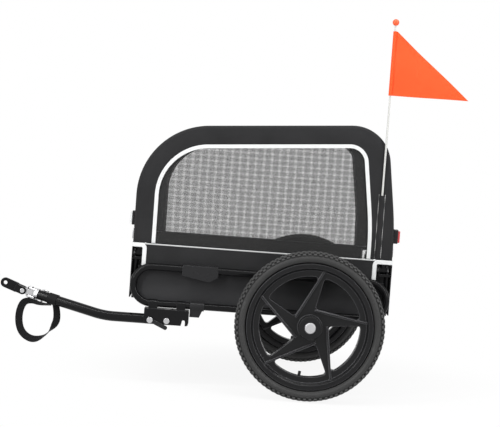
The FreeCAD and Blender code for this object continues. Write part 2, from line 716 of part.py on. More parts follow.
def hoop_tube():
    """The left folding hoop with a knuckle round each hinge bolt."""
    corners = cabin_corners(COVER_STANDOFF, HINGE_HEIGHT)
    corners[0] = (-HINGE_FRONT, HINGE_HEIGHT)
    corners[1] = (-HINGE_FRONT, corners[1][1])
    corners[-1] = (HINGE_REAR, HEM_HEIGHT)
    corners.append((HINGE_REAR, HINGE_HEIGHT))
    points = [vec(station, -HINGE_SPREAD, height) for station, height in corners]
    radii = cabin_radii(COVER_STANDOFF)
    radii[-1] = HOOP_FOOT_ROUND
    radii.append(0)
    hoop = pipe(rounded_edges(points, radii, False), HOOP_TUBE_RADIUS)
    for station in (-HINGE_FRONT, HINGE_REAR):
        low = vec(station - HOOP_TUBE_RADIUS, -HINGE_SPREAD, HINGE_HEIGHT)
        high = vec(station + HOOP_TUBE_RADIUS, -HINGE_SPREAD, HINGE_HEIGHT)
        hoop = hoop.fuse(cylinder(low, high, HOOP_TUBE_RADIUS))
        reach = vec(OVERRUN, 0, 0)
        hoop = hoop.cut(cylinder(low - reach, high + reach, HINGE_PIN_RADIUS + RUN_CLEARANCE))
    return hoop.removeSplitter()


def window_face(spread, depth, inset):
    """The mesh window's outline as a prism."""
    outer = [
        (-CABIN_FRONT, WINDOW_SILL),
        (-CABIN_FRONT, ROOF_FRONT_CORNER),
        (CABIN_REAR - REAR_TOP_SET_IN, ROOF_REAR_CORNER),
        (CABIN_REAR, REAR_BEND_HEIGHT),
        (CABIN_REAR, WINDOW_SILL),
    ]
    rear = WINDOW_REAR_MARGIN + inset
    margins = [WINDOW_FRONT_MARGIN + inset, WINDOW_TOP_MARGIN + inset, rear, rear]
    corners = inset_corners(outer, margins)
    corners[0] = (corners[0][0], WINDOW_SILL + inset)
    corners[-1] = (corners[-1][0], WINDOW_SILL + inset)
    bend = REAR_BEND_ROUND - rear
    radii = [WINDOW_SILL_ROUND, WINDOW_FRONT_ROUND, WINDOW_REAR_ROUND, bend, WINDOW_SILL_ROUND]
    return side_prism(corners, radii, spread, spread + depth)


def side_panel():
    """The left fabric side with its window opening."""
    inset = COVER_THICKNESS + PANEL_EDGE_GAP
    near = -CABIN_HALF_WIDTH
    sheet = side_prism(
        cabin_corners(inset, HEM_HEIGHT + HEM_GAP), cabin_radii(inset), near, near + PANEL_THICKNESS)
    return sheet.cut(window_face(near - OVERRUN, PANEL_THICKNESS + 2 * OVERRUN, 0))


def window_mesh():
    near = -CABIN_HALF_WIDTH + (PANEL_THICKNESS - MESH_THICKNESS) / 2
    return window_face(near, MESH_THICKNESS, RUN_CLEARANCE)


def tub_walls():
    """The fabric walls inside the side loops, open at the corners where the hinges stand."""
    half = LOOP_SPREAD - LOOP_TUBE_RADIUS - TUB_SIDE_GAP
    shell = box(-CABIN_FRONT, CABIN_REAR, -half, half, TUB_LOW, HEM_HEIGHT)
    inner = half - TUB_WALL
    front_face = TUB_WALL - CABIN_FRONT
    rear_face = CABIN_REAR - TUB_WALL
    shell = shell.cut(box(front_face, rear_face, -inner, inner, TUB_LOW - OVERRUN, HEM_HEIGHT + OVERRUN))
    top = HEM_HEIGHT - TUB_CUT_TOP_GAP
    for side in (-1, 1):
        ends = sorted((side * (inner - OVERRUN), side * (half + OVERRUN)))
        front = box(front_face, TUB_CUT_FRONT - CABIN_FRONT, ends[0], ends[1], LOOP_HIGH, top)
        rear = box(CABIN_REAR - TUB_CUT_REAR, rear_face, ends[0], ends[1], LOOP_HIGH, top)
        front_notch = box(front_face, TUB_NOTCH - CABIN_FRONT, ends[0], ends[1], TUB_NOTCH_LOW, LOOP_HIGH)
        rear_notch = box(CABIN_REAR - TUB_NOTCH, rear_face, ends[0], ends[1], TUB_NOTCH_LOW, LOOP_HIGH)
        shell = shell.cut(front.fuse([rear, front_notch, rear_notch]))
    return shell.removeSplitter()


def floor_board():
    half = LOOP_SPREAD - LOOP_TUBE_RADIUS - TUB_SIDE_GAP - TUB_WALL - FLOOR_EDGE_GAP
    margin = TUB_WALL + FLOOR_EDGE_GAP
    low = LOOP_LOW + CROSS_TUBE_RADIUS
    return box(margin - CABIN_FRONT, CABIN_REAR - margin, -half, half, low, low + FLOOR_THICKNESS)


def reflector(heading):
    """A left reflector's housing and lens, facing front (-1) or rear (1)."""
    start = CABIN_REAR + TOUCH_GAP if heading > 0 else CABIN_FRONT + TOUCH_GAP
    depth = REFLECTOR_HOUSING_REAR if heading > 0 else REFLECTOR_HOUSING_FRONT
    near = -REFLECTOR_CENTRE - REFLECTOR_WIDTH / 2
    far = -REFLECTOR_CENTRE + REFLECTOR_WIDTH / 2
    high = REFLECTOR_LOW + REFLECTOR_HEIGHT
    ends = sorted((heading * start, heading * (start + depth)))
    housing = box(ends[0], ends[1], near, far, REFLECTOR_LOW, high)
    along = [edge for edge in housing.Edges if edge.BoundBox.XLength > depth / 2]
    housing = housing.makeFillet(REFLECTOR_ROUND, along)
    border = REFLECTOR_LENS_BORDER
    ends = sorted((heading * (start + depth), heading * (start + depth + REFLECTOR_LENS)))
    lens = box(ends[0], ends[1], near + border, far - border, REFLECTOR_LOW + border, high - border)
    face = heading * (start + depth + REFLECTOR_LENS)
    front = [edge for edge in lens.Edges if abs(edge.CenterOfMass.x - face) < TOUCH_GAP]
    return housing, lens.makeFillet(REFLECTOR_LENS_BORDER, front)


def flag_spread():
    return -CABIN_HALF_WIDTH - TOUCH_GAP - POCKET_DEPTH / 2


def flag_pocket():
    half = POCKET_WIDTH / 2
    near = -CABIN_HALF_WIDTH - TOUCH_GAP - POCKET_DEPTH
    far = -CABIN_HALF_WIDTH - TOUCH_GAP
    sleeve = box(FLAG_STATION - half, FLAG_STATION + half, near, far, POCKET_LOW, POCKET_HIGH)
    upright = [edge for edge in sleeve.Edges if edge.BoundBox.ZLength > POCKET_WIDTH]
    sleeve = sleeve.makeFillet(POCKET_ROUND, upright)
    low = vec(FLAG_STATION, flag_spread(), POCKET_LOW + POCKET_FLOOR)
    high = vec(FLAG_STATION, flag_spread(), POCKET_HIGH + OVERRUN)
    return sleeve.cut(cylinder(low, high, ROD_RADIUS + TOUCH_GAP))


def flag_rod():
    low = vec(FLAG_STATION, flag_spread(), POCKET_LOW + POCKET_FLOOR + TOUCH_GAP)
    return cylinder(low, vec(FLAG_STATION, flag_spread(), FLAG_BALL_HEIGHT), ROD_RADIUS)


def flag_ball(rod):
    centre = vec(FLAG_STATION, flag_spread(), FLAG_BALL_HEIGHT)
    return Part.makeSphere(FLAG_BALL_RADIUS, centre).cut(rod)


def flag_cloth(rod):
    """A triangular cloth with a slow wave and a sewn sleeve round the rod."""
    sections = []
    for station_share, wave_share in zip(FLAG_STATION_SHARES, FLAG_WAVE_SHARES):
        station = FLAG_STATION + FLAG_LENGTH * station_share
        rise = (FLAG_HOIST_HIGH - FLAG_HOIST_LOW) * (1 - station_share) + FLAG_TIP_HEIGHT * station_share
        middle = flag_spread() + FLAG_WAVE * wave_share
        near = middle - FLAG_THICKNESS / 2
        far = middle + FLAG_THICKNESS / 2
        corners = [
            vec(station, near, FLAG_HOIST_LOW), vec(station, far, FLAG_HOIST_LOW),
            vec(station, far, FLAG_HOIST_LOW + rise), vec(station, near, FLAG_HOIST_LOW + rise),
        ]
        sections.append(Part.makePolygon(corners + corners[:1]))
    cloth = Part.makeLoft(sections, True, False)
    low = vec(FLAG_STATION, flag_spread(), FLAG_HOIST_LOW)
    high = vec(FLAG_STATION, flag_spread(), FLAG_HOIST_HIGH)
    return cloth.fuse(cylinder(low, high, FLAG_SLEEVE_RADIUS)).cut(rod)


def grip(loop):
    """A moulded wedge wrapped round the loop's upper tube."""
    top = LOOP_HIGH + LOOP_TUBE_RADIUS + GRIP_CROWN
    nose = -GRIP_FRONT
    tail = nose + GRIP_LENGTH
    points = [
        (nose, top), (tail, top), (tail, LOOP_HIGH - GRIP_NOSE_DROP),
        (tail - GRIP_TAIL_SET, LOOP_HIGH - GRIP_TAIL_DROP), (nose, LOOP_HIGH - GRIP_NOSE_DROP),
    ]
    radii = [GRIP_NOSE_ROUND, GRIP_ROUND, GRIP_ROUND, GRIP_ROUND, GRIP_NOSE_ROUND]
    inner = LOOP_TUBE_RADIUS - GRIP_INNER_SET_IN - LOOP_SPREAD
    wedge = side_prism(points, radii, -LOOP_SPREAD - GRIP_HALF_WIDTH, inner)
    return wedge.cut(loop)


def storage_clip(loop):
    """A clip round the lower tube whose shallow cradle takes the folded tow arm."""
    front = -CLIP_FRONT
    rear = front + CLIP_LENGTH
    spread = -LOOP_SPREAD
    ring = cylinder(vec(front, spread, LOOP_LOW), vec(rear, spread, LOOP_LOW), LOOP_TUBE_RADIUS + CLIP_WALL)
    jaw_half = CLIP_JAW_THICKNESS + CLIP_WALL
    jaw_low = ARM_HEIGHT + ARM_RADIUS
    outline = [(front, LOOP_LOW), (rear, LOOP_LOW), (rear - CLIP_JAW_SET_IN, jaw_low), (front, jaw_low)]
    jaw = side_prism(outline, [0, 0, 0, 0], spread - jaw_half, spread + jaw_half)
    arm_low = vec(front - OVERRUN, spread, ARM_HEIGHT)
    arm_high = vec(rear + OVERRUN, spread, ARM_HEIGHT)
    arm = cylinder(arm_low, arm_high, ARM_RADIUS + NOTCH_CLEARANCE)
    return ring.fuse(jaw).cut(loop).cut(arm).removeSplitter()


def bracket_half():
    return ARM_RADIUS + BRACKET_SIDE_GAP


def bracket_strap(station, top):
    """A band that holds the tow bracket to the left loop's lower tube."""
    spread = -LOOP_SPREAD
    reach = LOOP_TUBE_RADIUS + BRACKET_STRAP_WALL
    low = vec(station, spread, LOOP_LOW)
    high = vec(station + BRACKET_STRAP_WIDTH, spread, LOOP_LOW)
    band = cylinder(low, high, reach)
    return band.fuse(box(low.x, high.x, spread - reach, spread + reach, top, LOOP_LOW))


def bracket_notch(side, reach):
    """An open notch that takes the lock pin, before (-1) or behind (1) the pivot."""
    spread = -LOOP_SPREAD
    half = LOCK_PIN_RADIUS + NOTCH_CLEARANCE
    centre = -PIVOT_STATION + side * (LOCK_STATION - PIVOT_STATION)
    seat = cylinder(vec(centre, spread - reach, ARM_HEIGHT), vec(centre, spread + reach, ARM_HEIGHT), half)
    mouth_low = BRACKET_LOW - OVERRUN
    outline = [
        (centre + side * half, ARM_HEIGHT), (centre - side * half, ARM_HEIGHT),
        (centre - side * (half + NOTCH_FLARE), mouth_low), (centre + side * half, mouth_low),
    ]
    mouth = side_prism(outline, [0, 0, 0, 0], spread - reach, spread + reach)
    return seat.fuse(mouth)


def tow_bracket(loop):
    """An inverted channel strapped under the left loop, with open notches for the lock pin."""
    inner = bracket_half()
    outer = inner + BRACKET_WALL
    top = LOOP_LOW - LOOP_TUBE_RADIUS - BRACKET_TOP_GAP
    spread = -LOOP_SPREAD
    front = -BRACKET_FRONT
    rear = -BRACKET_REAR
    outline = [(front, top), (rear, top), (rear, BRACKET_LOW), (front, BRACKET_LOW)]
    body = side_prism(outline, [0, 0, BRACKET_ROUND, BRACKET_ROUND], spread - outer, spread + outer)
    body = body.cut(box(
        front - OVERRUN, rear + OVERRUN, spread - inner, spread + inner,
        BRACKET_LOW - OVERRUN, top - BRACKET_WALL))
    for station in (front + BRACKET_STRAP_SET_IN, rear - BRACKET_STRAP_SET_IN - BRACKET_STRAP_WIDTH):
        body = body.fuse(bracket_strap(station, top))
    body = body.cut(loop)
    reach = outer + OVERRUN
    pivot_near = vec(-PIVOT_STATION, spread - reach, ARM_HEIGHT)
    pivot_far = vec(-PIVOT_STATION, spread + reach, ARM_HEIGHT)
    body = body.cut(cylinder(pivot_near, pivot_far, PIVOT_PIN_RADIUS + RUN_CLEARANCE))
    for side in (-1, 1):
        body = body.cut(bracket_notch(side, reach))
    return body.removeSplitter()


def cross_pin(station, radius, head_gap):
    """A pin across the tow bracket with a round head on the left, clear of the bracket by a gap."""
    outer = bracket_half() + BRACKET_WALL
    head_face = -LOOP_SPREAD - outer - head_gap
    far = vec(-station, -LOOP_SPREAD + outer + PIN_END_REACH, ARM_HEIGHT)
    head = vec(-station, head_face, ARM_HEIGHT)
    shaft = cylinder(head, far, radius)
    top = vec(-station, head_face - PIN_HEAD_THICKNESS, ARM_HEIGHT)
    return shaft.fuse(cylinder(top, head, PIN_HEAD_RADIUS)).removeSplitter()


def keeper():
    """A flat lever on the lock pin, under its head, that swings down to free the pin."""
    far = -LOOP_SPREAD - bracket_half() - BRACKET_WALL - TOUCH_GAP
    near = far - KEEPER_THICKNESS
    half = KEEPER_HEIGHT / 2
    eye = -LOCK_STATION
    tip = KEEPER_LENGTH - LOCK_STATION
    outline = [
        (eye - half, ARM_HEIGHT - half), (tip, ARM_HEIGHT - half),
        (tip, ARM_HEIGHT + half), (eye - half, ARM_HEIGHT + half),
    ]
    lever = side_prism(outline, [half - TOUCH_GAP] * len(outline), near, far)
    lever.rotate(vec(eye, 0, ARM_HEIGHT), vec(0, 1, 0), KEEPER_DROOP)
    hole_near = vec(eye, near - OVERRUN, ARM_HEIGHT)
    hole_far = vec(eye, far + OVERRUN, ARM_HEIGHT)
    return lever.cut(cylinder(hole_near, hole_far, LOCK_PIN_RADIUS + RUN_CLEARANCE))


def arm_heading():
    bend = vec(-ARM_BEND_STATION, -LOOP_SPREAD, ARM_HEIGHT)
    end = vec(-ARM_END_STATION, -ARM_END_SPREAD, ARM_END_HEIGHT)
    return bend, end, (end - bend).normalize()


def tow_arm():
    bend, end, heading = arm_heading()
    start = vec(ARM_TAIL - PIVOT_STATION, -LOOP_SPREAD, ARM_HEIGHT)
    edges = rounded_edges([start, bend, end], [0, ARM_BEND_RADIUS, 0], False)
    tube = pipe(edges, ARM_RADIUS).cut(pipe(edges, ARM_RADIUS - ARM_WALL))
    for station, radius in ((PIVOT_STATION, PIVOT_PIN_RADIUS), (LOCK_STATION, LOCK_PIN_RADIUS)):
        low = vec(-station, -LOOP_SPREAD - ARM_RADIUS - OVERRUN, ARM_HEIGHT)
        high = vec(-station, ARM_RADIUS + OVERRUN - LOOP_SPREAD, ARM_HEIGHT)
        tube = tube.cut(cylinder(low, high, radius + RUN_CLEARANCE))
    return tube.cut(ring_pin_bore(end, heading))


def upright_of(heading):
    """The direction square to the arm in its upright fore-and-aft plane."""
    return vec(heading.z, 0, -heading.x).normalize()


def ring_pin_bore(end, heading):
    middle = end - heading * RING_PIN_SET_BACK
    rise = upright_of(heading) * (ARM_RADIUS + OVERRUN)
    return cylinder(middle - rise, middle + rise, RING_PIN_RADIUS + RUN_CLEARANCE)


def ring_pin():
    bend, end, heading = arm_heading()
    middle = end - heading * RING_PIN_SET_BACK
    up = upright_of(heading)
    top = middle + up * (ARM_RADIUS + TOUCH_GAP)
    pin = cylinder(middle - up * RING_PIN_REACH, top, RING_PIN_RADIUS)
    pin = pin.fuse(cylinder(top, top + up * RING_PIN_HEAD_THICKNESS, RING_PIN_HEAD_RADIUS))
    side = heading.cross(up)
    eye = top + up * (RING_PIN_HEAD_THICKNESS / 2) - heading * RING_RADIUS
    ring = Part.makeTorus(RING_RADIUS, RING_WIRE_RADIUS, eye, up + side * RING_TILT_SHARE)
    return pin.fuse(ring).removeSplitter()


def slab(centre, along, across, upward, sizes):
    """A block about a centre, with its sides along three square directions."""
    corner = centre - along * (sizes[0] / 2) - across * (sizes[1] / 2)
    points = [
        corner, corner + along * sizes[0], corner + along * sizes[0] + across * sizes[1],
        corner + across * sizes[1], corner,
    ]
    base = Part.Face(Part.makePolygon([point - upward * (sizes[2] / 2) for point in points]))
    return base.extrude(upward * sizes[2])


def round_ear(root, tip, across, upward, width, thickness):
    """A flat ear from root to tip with a round end about the tip."""
    along = (tip - root).normalize()
    length = (tip - root).Length
    ear = slab((root + tip) / 2, along, across, upward, (length, width, thickness))
    base = tip - upward * (thickness / 2)
    return ear.fuse(Part.makeCylinder(width / 2, thickness, base, upward))


def coupler_frame():
    bend, end, heading = arm_heading()
    up = upright_of(heading)
    level = vec(heading.x, 0, heading.z).normalize()
    yaw = end + heading * YAW_PIN_DISTANCE
    pitch = yaw + level * PITCH_PIN_DISTANCE
    return end, heading, up, level, yaw, pitch


def coupler_shank():
    """The plug in the arm's end with a collar and two ears round the upright pin."""
    end, heading, up, level, yaw, pitch = coupler_frame()
    shank = cylinder(end - heading * SHANK_LENGTH, end, SHANK_RADIUS)
    shank = shank.fuse(cylinder(end, end + heading * COLLAR_LENGTH, COLLAR_RADIUS))
    across = up.cross(heading).normalize()
    inner = CROSS_HALF + COUPLER_GAP
    for side in (-1, 1):
        shift = up * (side * (inner + EAR_THICKNESS / 2))
        root = end + heading * (COLLAR_LENGTH / 2) + shift
        ear = round_ear(root, yaw + shift, across, up, EAR_WIDTH, EAR_THICKNESS)
        shank = shank.fuse(ear)
    reach = inner + EAR_THICKNESS + OVERRUN
    shank = shank.cut(cylinder(yaw - up * reach, yaw + up * reach, COUPLER_PIN_RADIUS + RUN_CLEARANCE))
    return shank.cut(ring_pin_bore(end, heading)).removeSplitter()


def coupler_cross():
    """The block between the two pins of the joint."""
    end, heading, up, level, yaw, pitch = coupler_frame()
    across = vec(0, 1, 0)
    low = yaw - level * CROSS_END
    high = pitch + level * CROSS_END
    size = 2 * CROSS_HALF
    block = slab((low + high) / 2, level, across, up, ((high - low).Length, size, size))
    reach = CROSS_HALF + OVERRUN
    hole = COUPLER_PIN_RADIUS
    block = block.cut(cylinder(yaw - up * reach, yaw + up * reach, hole))
    return block.cut(cylinder(pitch - across * reach, pitch + across * reach, hole))


def coupler_pins():
    end, heading, up, level, yaw, pitch = coupler_frame()
    pins = []
    reach = CROSS_HALF + COUPLER_GAP + EAR_THICKNESS
    for centre, axis in ((yaw, up), (pitch, vec(0, 1, 0))):
        pin = cylinder(centre - axis * reach, centre + axis * reach, COUPLER_PIN_RADIUS)
        for side in (-1, 1):
            face = centre + axis * (side * (reach + RUN_CLEARANCE))
            head = cylinder(face, face + axis * (side * COUPLER_HEAD_THICKNESS), COUPLER_PIN_HEAD)
            neck = cylinder(centre + axis * (side * reach), face, COUPLER_PIN_RADIUS)
            pin = pin.fuse([head, neck])
        pins.append(pin.removeSplitter())
    return pins


def hitch_frame():
    end, heading, up, level, yaw, pitch = coupler_frame()
    tilt = math.radians(HITCH_TILT)
    ahead = vec(-math.cos(tilt), 0, math.sin(tilt))
    rise = vec(math.sin(tilt), 0, math.cos(tilt))
    return pitch, ahead, rise


def hitch_plate():
    """The fork round the level pin and the flat plate that goes on a bicycle's axle."""
    pitch, ahead, rise = hitch_frame()
    across = vec(0, 1, 0)
    inner = CROSS_HALF + COUPLER_GAP
    bridge_start = pitch + ahead * (HITCH_EAR_LENGTH - HITCH_BRIDGE)
    width = 2 * (inner + EAR_THICKNESS)
    bridge = bridge_start + ahead * (HITCH_BRIDGE / 2)
    plate = slab(bridge, ahead, across, rise, (HITCH_BRIDGE, width, EAR_WIDTH))
    for side in (-1, 1):
        shift = across * (side * (inner + EAR_THICKNESS / 2))
        ear = round_ear(bridge_start + shift, pitch + shift, rise, across, EAR_WIDTH, EAR_THICKNESS)
        plate = plate.fuse(ear)
    hole = pitch + ahead * (HITCH_EAR_LENGTH + PLATE_HOLE_DISTANCE)
    plate = plate.fuse(round_ear(bridge_start, hole, rise, across, PLATE_HEIGHT, PLATE_THICKNESS))
    reach = across * (width / 2 + OVERRUN)
    plate = plate.cut(cylinder(pitch - reach, pitch + reach, COUPLER_PIN_RADIUS + RUN_CLEARANCE))
    return plate.cut(cylinder(hole - reach, hole + reach, AXLE_HOLE_RADIUS)).removeSplitter()


def strap_collar():
    bend, end, heading = arm_heading()
    middle = end - heading * STRAP_COLLAR_SET_BACK
    low = middle - heading * (STRAP_COLLAR_WIDTH / 2)
    high = middle + heading * (STRAP_COLLAR_WIDTH / 2)
    band = cylinder(low, high, ARM_RADIUS + STRAP_COLLAR_WALL)
    return band.cut(cylinder(low - heading * OVERRUN, high + heading * OVERRUN, ARM_RADIUS))


def safety_strap(collar):
    """A loop of flat webbing that hangs from the collar round the coupling."""
    bend, end, heading = arm_heading()
    middle = (end - heading * STRAP_COLLAR_SET_BACK).y
    points = [vec(end.x - ahead, middle, end.z + rise) for ahead, rise in STRAP_ROUTE]
    radii = [0]
    for index in range(1, len(points) - 1):
        back = points[index - 1] - points[index]
        ahead = points[index + 1] - points[index]
        half = back.getAngle(ahead) / 2
        shorter = min(back.Length, ahead.Length)
        radii.append(ROUTE_ARC_SHARE * shorter * math.tan(half))
    radii.append(0)
    edges = rounded_edges(points, radii, False)
    path = Part.Wire(edges)
    start = points[0]
    along = (points[1] - start).normalize()
    normal = vec(-along.z, 0, along.x)
    corners = []
    for side, turn in ((-1, -1), (1, -1), (1, 1), (-1, 1)):
        corners.append(start + vec(0, side * STRAP_WIDTH / 2, 0) + normal * (turn * STRAP_THICKNESS / 2))
    section = Part.makePolygon(corners + corners[:1])
    return path.makePipeShell([section], True, False).cut(collar)



def main():
    os.makedirs("parts", exist_ok=True)

    wheel_pieces = {
        "tyre": tyre(),
        "rim": rim(),
        "hub_cap": hub_cap(),
        "valve": valve(),
        "axle": axle(),
        "button": button(),
    }
    for name, piece in wheel_pieces.items():
        save("left_" + name, piece)
        save("right_" + name, mirrored(piece))
    races = bearings()
    save("left_bearings", *races)
    save("right_bearings", *[mirrored(race) for race in races])

    loop = side_loop()
    loops = loop.fuse(mirrored(loop))
    save("left_side_loop", loop)
    save("right_side_loop", mirrored(loop))
    save("front_cross_tube", cross_tube(FRONT_CROSS_SETBACK - LOOP_FRONT, loops))
    save("rear_cross_tube", cross_tube(LOOP_REAR - REAR_CROSS_SETBACK, loops))
    save("axle_tube", axle_tube())
    save("front_end_frame", end_frame(-LOOP_FRONT, loops))
    save("rear_end_frame", end_frame(LOOP_REAR, loops))
    save("floor_board", floor_board())
    save("tub_walls", tub_walls())

    brackets = [hinge_bracket(-HINGE_FRONT, -LOOP_FRONT), hinge_bracket(HINGE_REAR, LOOP_REAR)]
    save("left_hinge_brackets", *brackets)
    save("right_hinge_brackets", *[mirrored(piece) for piece in brackets])
    bolts = [hinge_bolt(-HINGE_FRONT), hinge_bolt(HINGE_REAR)]
    save("hinge_bolts", *bolts, *[mirrored(piece) for piece in bolts])

    front, roof, rear = cover_pieces()
    save("front_panel", front)
    save("roof_cover", roof)
    save("rear_panel", rear)

    side_pieces = {"hoop": hoop_tube(), "side_panel": side_panel(), "window_mesh": window_mesh()}
    front_housing, front_lens = reflector(-1)
    rear_housing, rear_lens = reflector(1)
    side_pieces["reflector_housings"] = Part.makeCompound([front_housing, rear_housing])
    side_pieces["front_lens"] = front_lens
    side_pieces["rear_lens"] = rear_lens
    for name, piece in side_pieces.items():
        save("left_" + name, piece)
        save("right_" + name, mirrored(piece))

    rod = flag_rod()
    save("flag_pocket", flag_pocket())
    save("flag_rod", rod)
    save("flag_ball", flag_ball(rod))
    save("flag_cloth", flag_cloth(rod))

    wedge = grip(loop)
    save("left_grip", wedge)
    save("right_grip", mirrored(wedge))
    save("storage_clip", storage_clip(loop))
    save("tow_bracket", tow_bracket(loop))
    save("pivot_bolt", cross_pin(PIVOT_STATION, PIVOT_PIN_RADIUS, 0))

    save("tow_arm_tube", tow_arm())
    save("lock_pin", cross_pin(LOCK_STATION, LOCK_PIN_RADIUS, KEEPER_THICKNESS + 2 * TOUCH_GAP))
    save("keeper_lever", keeper())
    save("coupler_shank", coupler_shank())
    save("coupler_cross", coupler_cross())
    save("coupler_pins", *coupler_pins())
    save("hitch_plate", hitch_plate())
    save("ring_pin", ring_pin())
    collar = strap_collar()
    save("strap_collar", collar)
    save("safety_strap", safety_strap(collar))


main()
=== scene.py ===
"""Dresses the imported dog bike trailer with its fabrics, tyres, trim and finishes."""

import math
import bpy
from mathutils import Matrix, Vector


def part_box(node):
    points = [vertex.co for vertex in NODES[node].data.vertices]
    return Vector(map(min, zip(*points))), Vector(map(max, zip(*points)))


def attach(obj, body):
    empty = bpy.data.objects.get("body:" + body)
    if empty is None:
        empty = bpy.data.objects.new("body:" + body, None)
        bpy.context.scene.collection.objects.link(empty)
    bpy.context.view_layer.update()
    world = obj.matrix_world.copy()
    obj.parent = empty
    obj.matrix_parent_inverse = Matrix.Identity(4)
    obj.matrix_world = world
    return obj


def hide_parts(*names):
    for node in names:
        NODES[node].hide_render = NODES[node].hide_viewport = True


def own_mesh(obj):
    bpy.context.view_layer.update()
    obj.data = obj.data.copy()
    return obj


bl_info = {
    "name": "Dog bike trailer",
    "version": (1, 0, 0),
    "blender": (4, 5, 0),
    "location": "View3D > Sidebar > Trailer",
    "description": "Builds the soft pieces, tyres, trim and finishes of a folding dog bike trailer",
    "category": "Object",
}

import bmesh
import bpy
from mathutils import Matrix, Vector, noise

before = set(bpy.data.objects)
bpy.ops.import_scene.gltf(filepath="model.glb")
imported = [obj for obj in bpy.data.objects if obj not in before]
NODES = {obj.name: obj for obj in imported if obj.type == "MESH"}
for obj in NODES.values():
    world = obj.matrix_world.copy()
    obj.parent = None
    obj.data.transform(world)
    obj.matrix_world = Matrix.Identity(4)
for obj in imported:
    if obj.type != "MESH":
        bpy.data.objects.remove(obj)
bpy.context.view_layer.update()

# Lengths are in metres, and angles in degrees unless they are said to be in radians

# Cabin outline seen from the left, as in the solids, and the steps along its lines and arcs
CABIN_FRONT = -0.490
CABIN_REAR = 0.216
REAR_TOP = 0.178
ROOF_FRONT = 0.6964
ROOF_REAR = 0.746
REAR_BEND = 0.467
FRONT_ROUND = 0.199
REAR_ROUND = 0.104
BEND_ROUND = 0.8
HEM = 0.3814
SIDE = 0.2235
LINE_STEPS = (26, 44, 24, 12)
ARC_STEPS = (0, 26, 18, 4, 0)

# Cloth as it was cut: flat sizes, and areas where the cut isn't a rectangle
SIDE_FLAT = (0.70, 0.355)
SIDE_AREA = 0.080
NET_FLAT = (0.59, 0.30)
NET_AREA = 0.160

# Meshes: reach for merging points, and the sharpest edges that are shaded smooth
MERGE_REACH = 0.00002
TYRE_ANGLE = 38.0
TRIM_ANGLE = 40.0
CLOTH_ANGLE = 50.0
ROUND_ANGLE = 60.0

# Slow wrinkles: waves to the metre, stretched across the trailer, and a finer layer on top
WRINKLE_SCALE = 6.0
WRINKLE_STRETCH_SHARE = 0.6
WRINKLE_START = 7.0
FINE_SCALE = 2.3
FINE_START = Vector((3.1, 0.0, 1.7))
FINE_SHARE = 0.5

# Cover: steps round its edges and across it, and how it sags between the hoops
COVER_GAP = 0.0004
COVER_FOOT = 0.12
COVER_COLUMNS = 44
EDGE_STEPS = 5
HANG_POWER = 0.8

# Zips of the cover's two doors, with (share of the half width, rise) across the tape
ZIP_FOOT = 0.008
ZIP_RISE = 0.270
ZIP_SPREAD = 0.165
ZIP_ROUND = 0.05
ZIP_LINE_STEPS = (30, 40, 30)
ZIP_ARC_STEPS = (0, 12, 12, 0)
ZIP_HALF = 0.0075
ZIP_PITCH = 0.003
ZIP_SECTION = (
    (-1.0, 0.0), (-0.97, 0.0007), (-0.36, 0.0008), (-0.3, 0.0018),
    (0.3, 0.0018), (0.36, 0.0008), (0.97, 0.0007), (1.0, 0.0),
)
SLIDER_STEP = 3
SLIDER_SIZE = (0.006, 0.0085, 0.012)
SLIDER_EDGE = 0.0012
TONGUE_SIZE = (0.0018, 0.0065, 0.024)
TONGUE_EDGE = 0.0005
TONGUE_DROP = 0.012

# Side panels, inset from the outline, with their windows inset at the front, top and rear
SIDE_SINK = 0.0006
SIDE_PLANE = -SIDE + SIDE_SINK
SIDE_INSET = 0.0095
SIDE_RISE = 0.001
SIDE_FOOT = HEM + SIDE_RISE
SIDE_STEPS = 10
SIDE_PUFF = 0.0022
SIDE_WRINKLE_SHARE = 0.6
SILL_COLUMNS = 60
WINDOW_SILL = 0.3838
WINDOW_INSETS = (0.056, 0.056, 0.066)
WINDOW_FRONT_ROUND = 0.140
WINDOW_REAR_ROUND = 0.045

# Window nets behind the panels
NET_MARGIN = 0.003
NET_SINK = 0.0012
NET_BELLY = 0.004
NET_BELLY_HEIGHT = 0.3
NET_COLUMNS = 30

# Sewn tapes: (share of the half width, rise) across them
TAPE_SECTION = (
    (-1.0, 0.0), (-0.85, 0.0012), (-0.1, 0.0012), (0.0, 0.0006), (0.1, 0.0012), (0.85, 0.0012), (1.0, 0.0),
)
TAPE_LIFT = 0.0014
TAPE_CLOTH = 0.0008
CORNER_SECTION = ((-1.0, 0.0), (-0.8, 0.0012), (0.8, 0.0012), (1.0, 0.0))
CORNER_TAPE = 0.0105
CORNER_CLOTH = 0.0012
CORNER_ROUND = 0.009
CORNER_LINE_STEPS = (6, 8)
CORNER_ARC_STEPS = (0, 8, 0)

# Tub: openings at its corners, as in the solids, and steps between them
LOOP_TOP = 0.320
CUT_TOP = 0.373
CUT_FRONT = 0.034
CUT_REAR = 0.048
NOTCH = 0.020
NOTCH_LOW = 0.255
TUB_HANG = 0.005
TUB_STATION_STEPS = (2, 2, 56, 3, 2)
TUB_HEIGHT_STEPS = (3, 7, 6, 2)
TUB_END_COLUMNS = 40

# Tub cloth: how far the walls sink inwards, and how near an edge they are pulled straight
WALL_SINK = 0.0012
WALL_WRINKLE_SHARE = 0.7
END_SINK = 0.002
END_INSET = 0.0008
TUB_WRINKLE_SCALE = 8.0
TAUT_HEIGHT = 0.04
TAUT_LENGTH = 0.06
TAUT_WIDTH_SHARE = 0.125

# Piping round the tub's upper edge: (share of the reach, share of the height) round its section
HEM_REACH = 0.0017
HEM_BEND = 0.006
HEM_BEND_STEPS = 6
HEM_DROP_SHARE = 0.35
HEM_SECTION = ((0.0, -0.5), (0.6, -0.46), (1.0, -0.25), (1.0, 0.25), (0.6, 0.46), (0.0, 0.5))

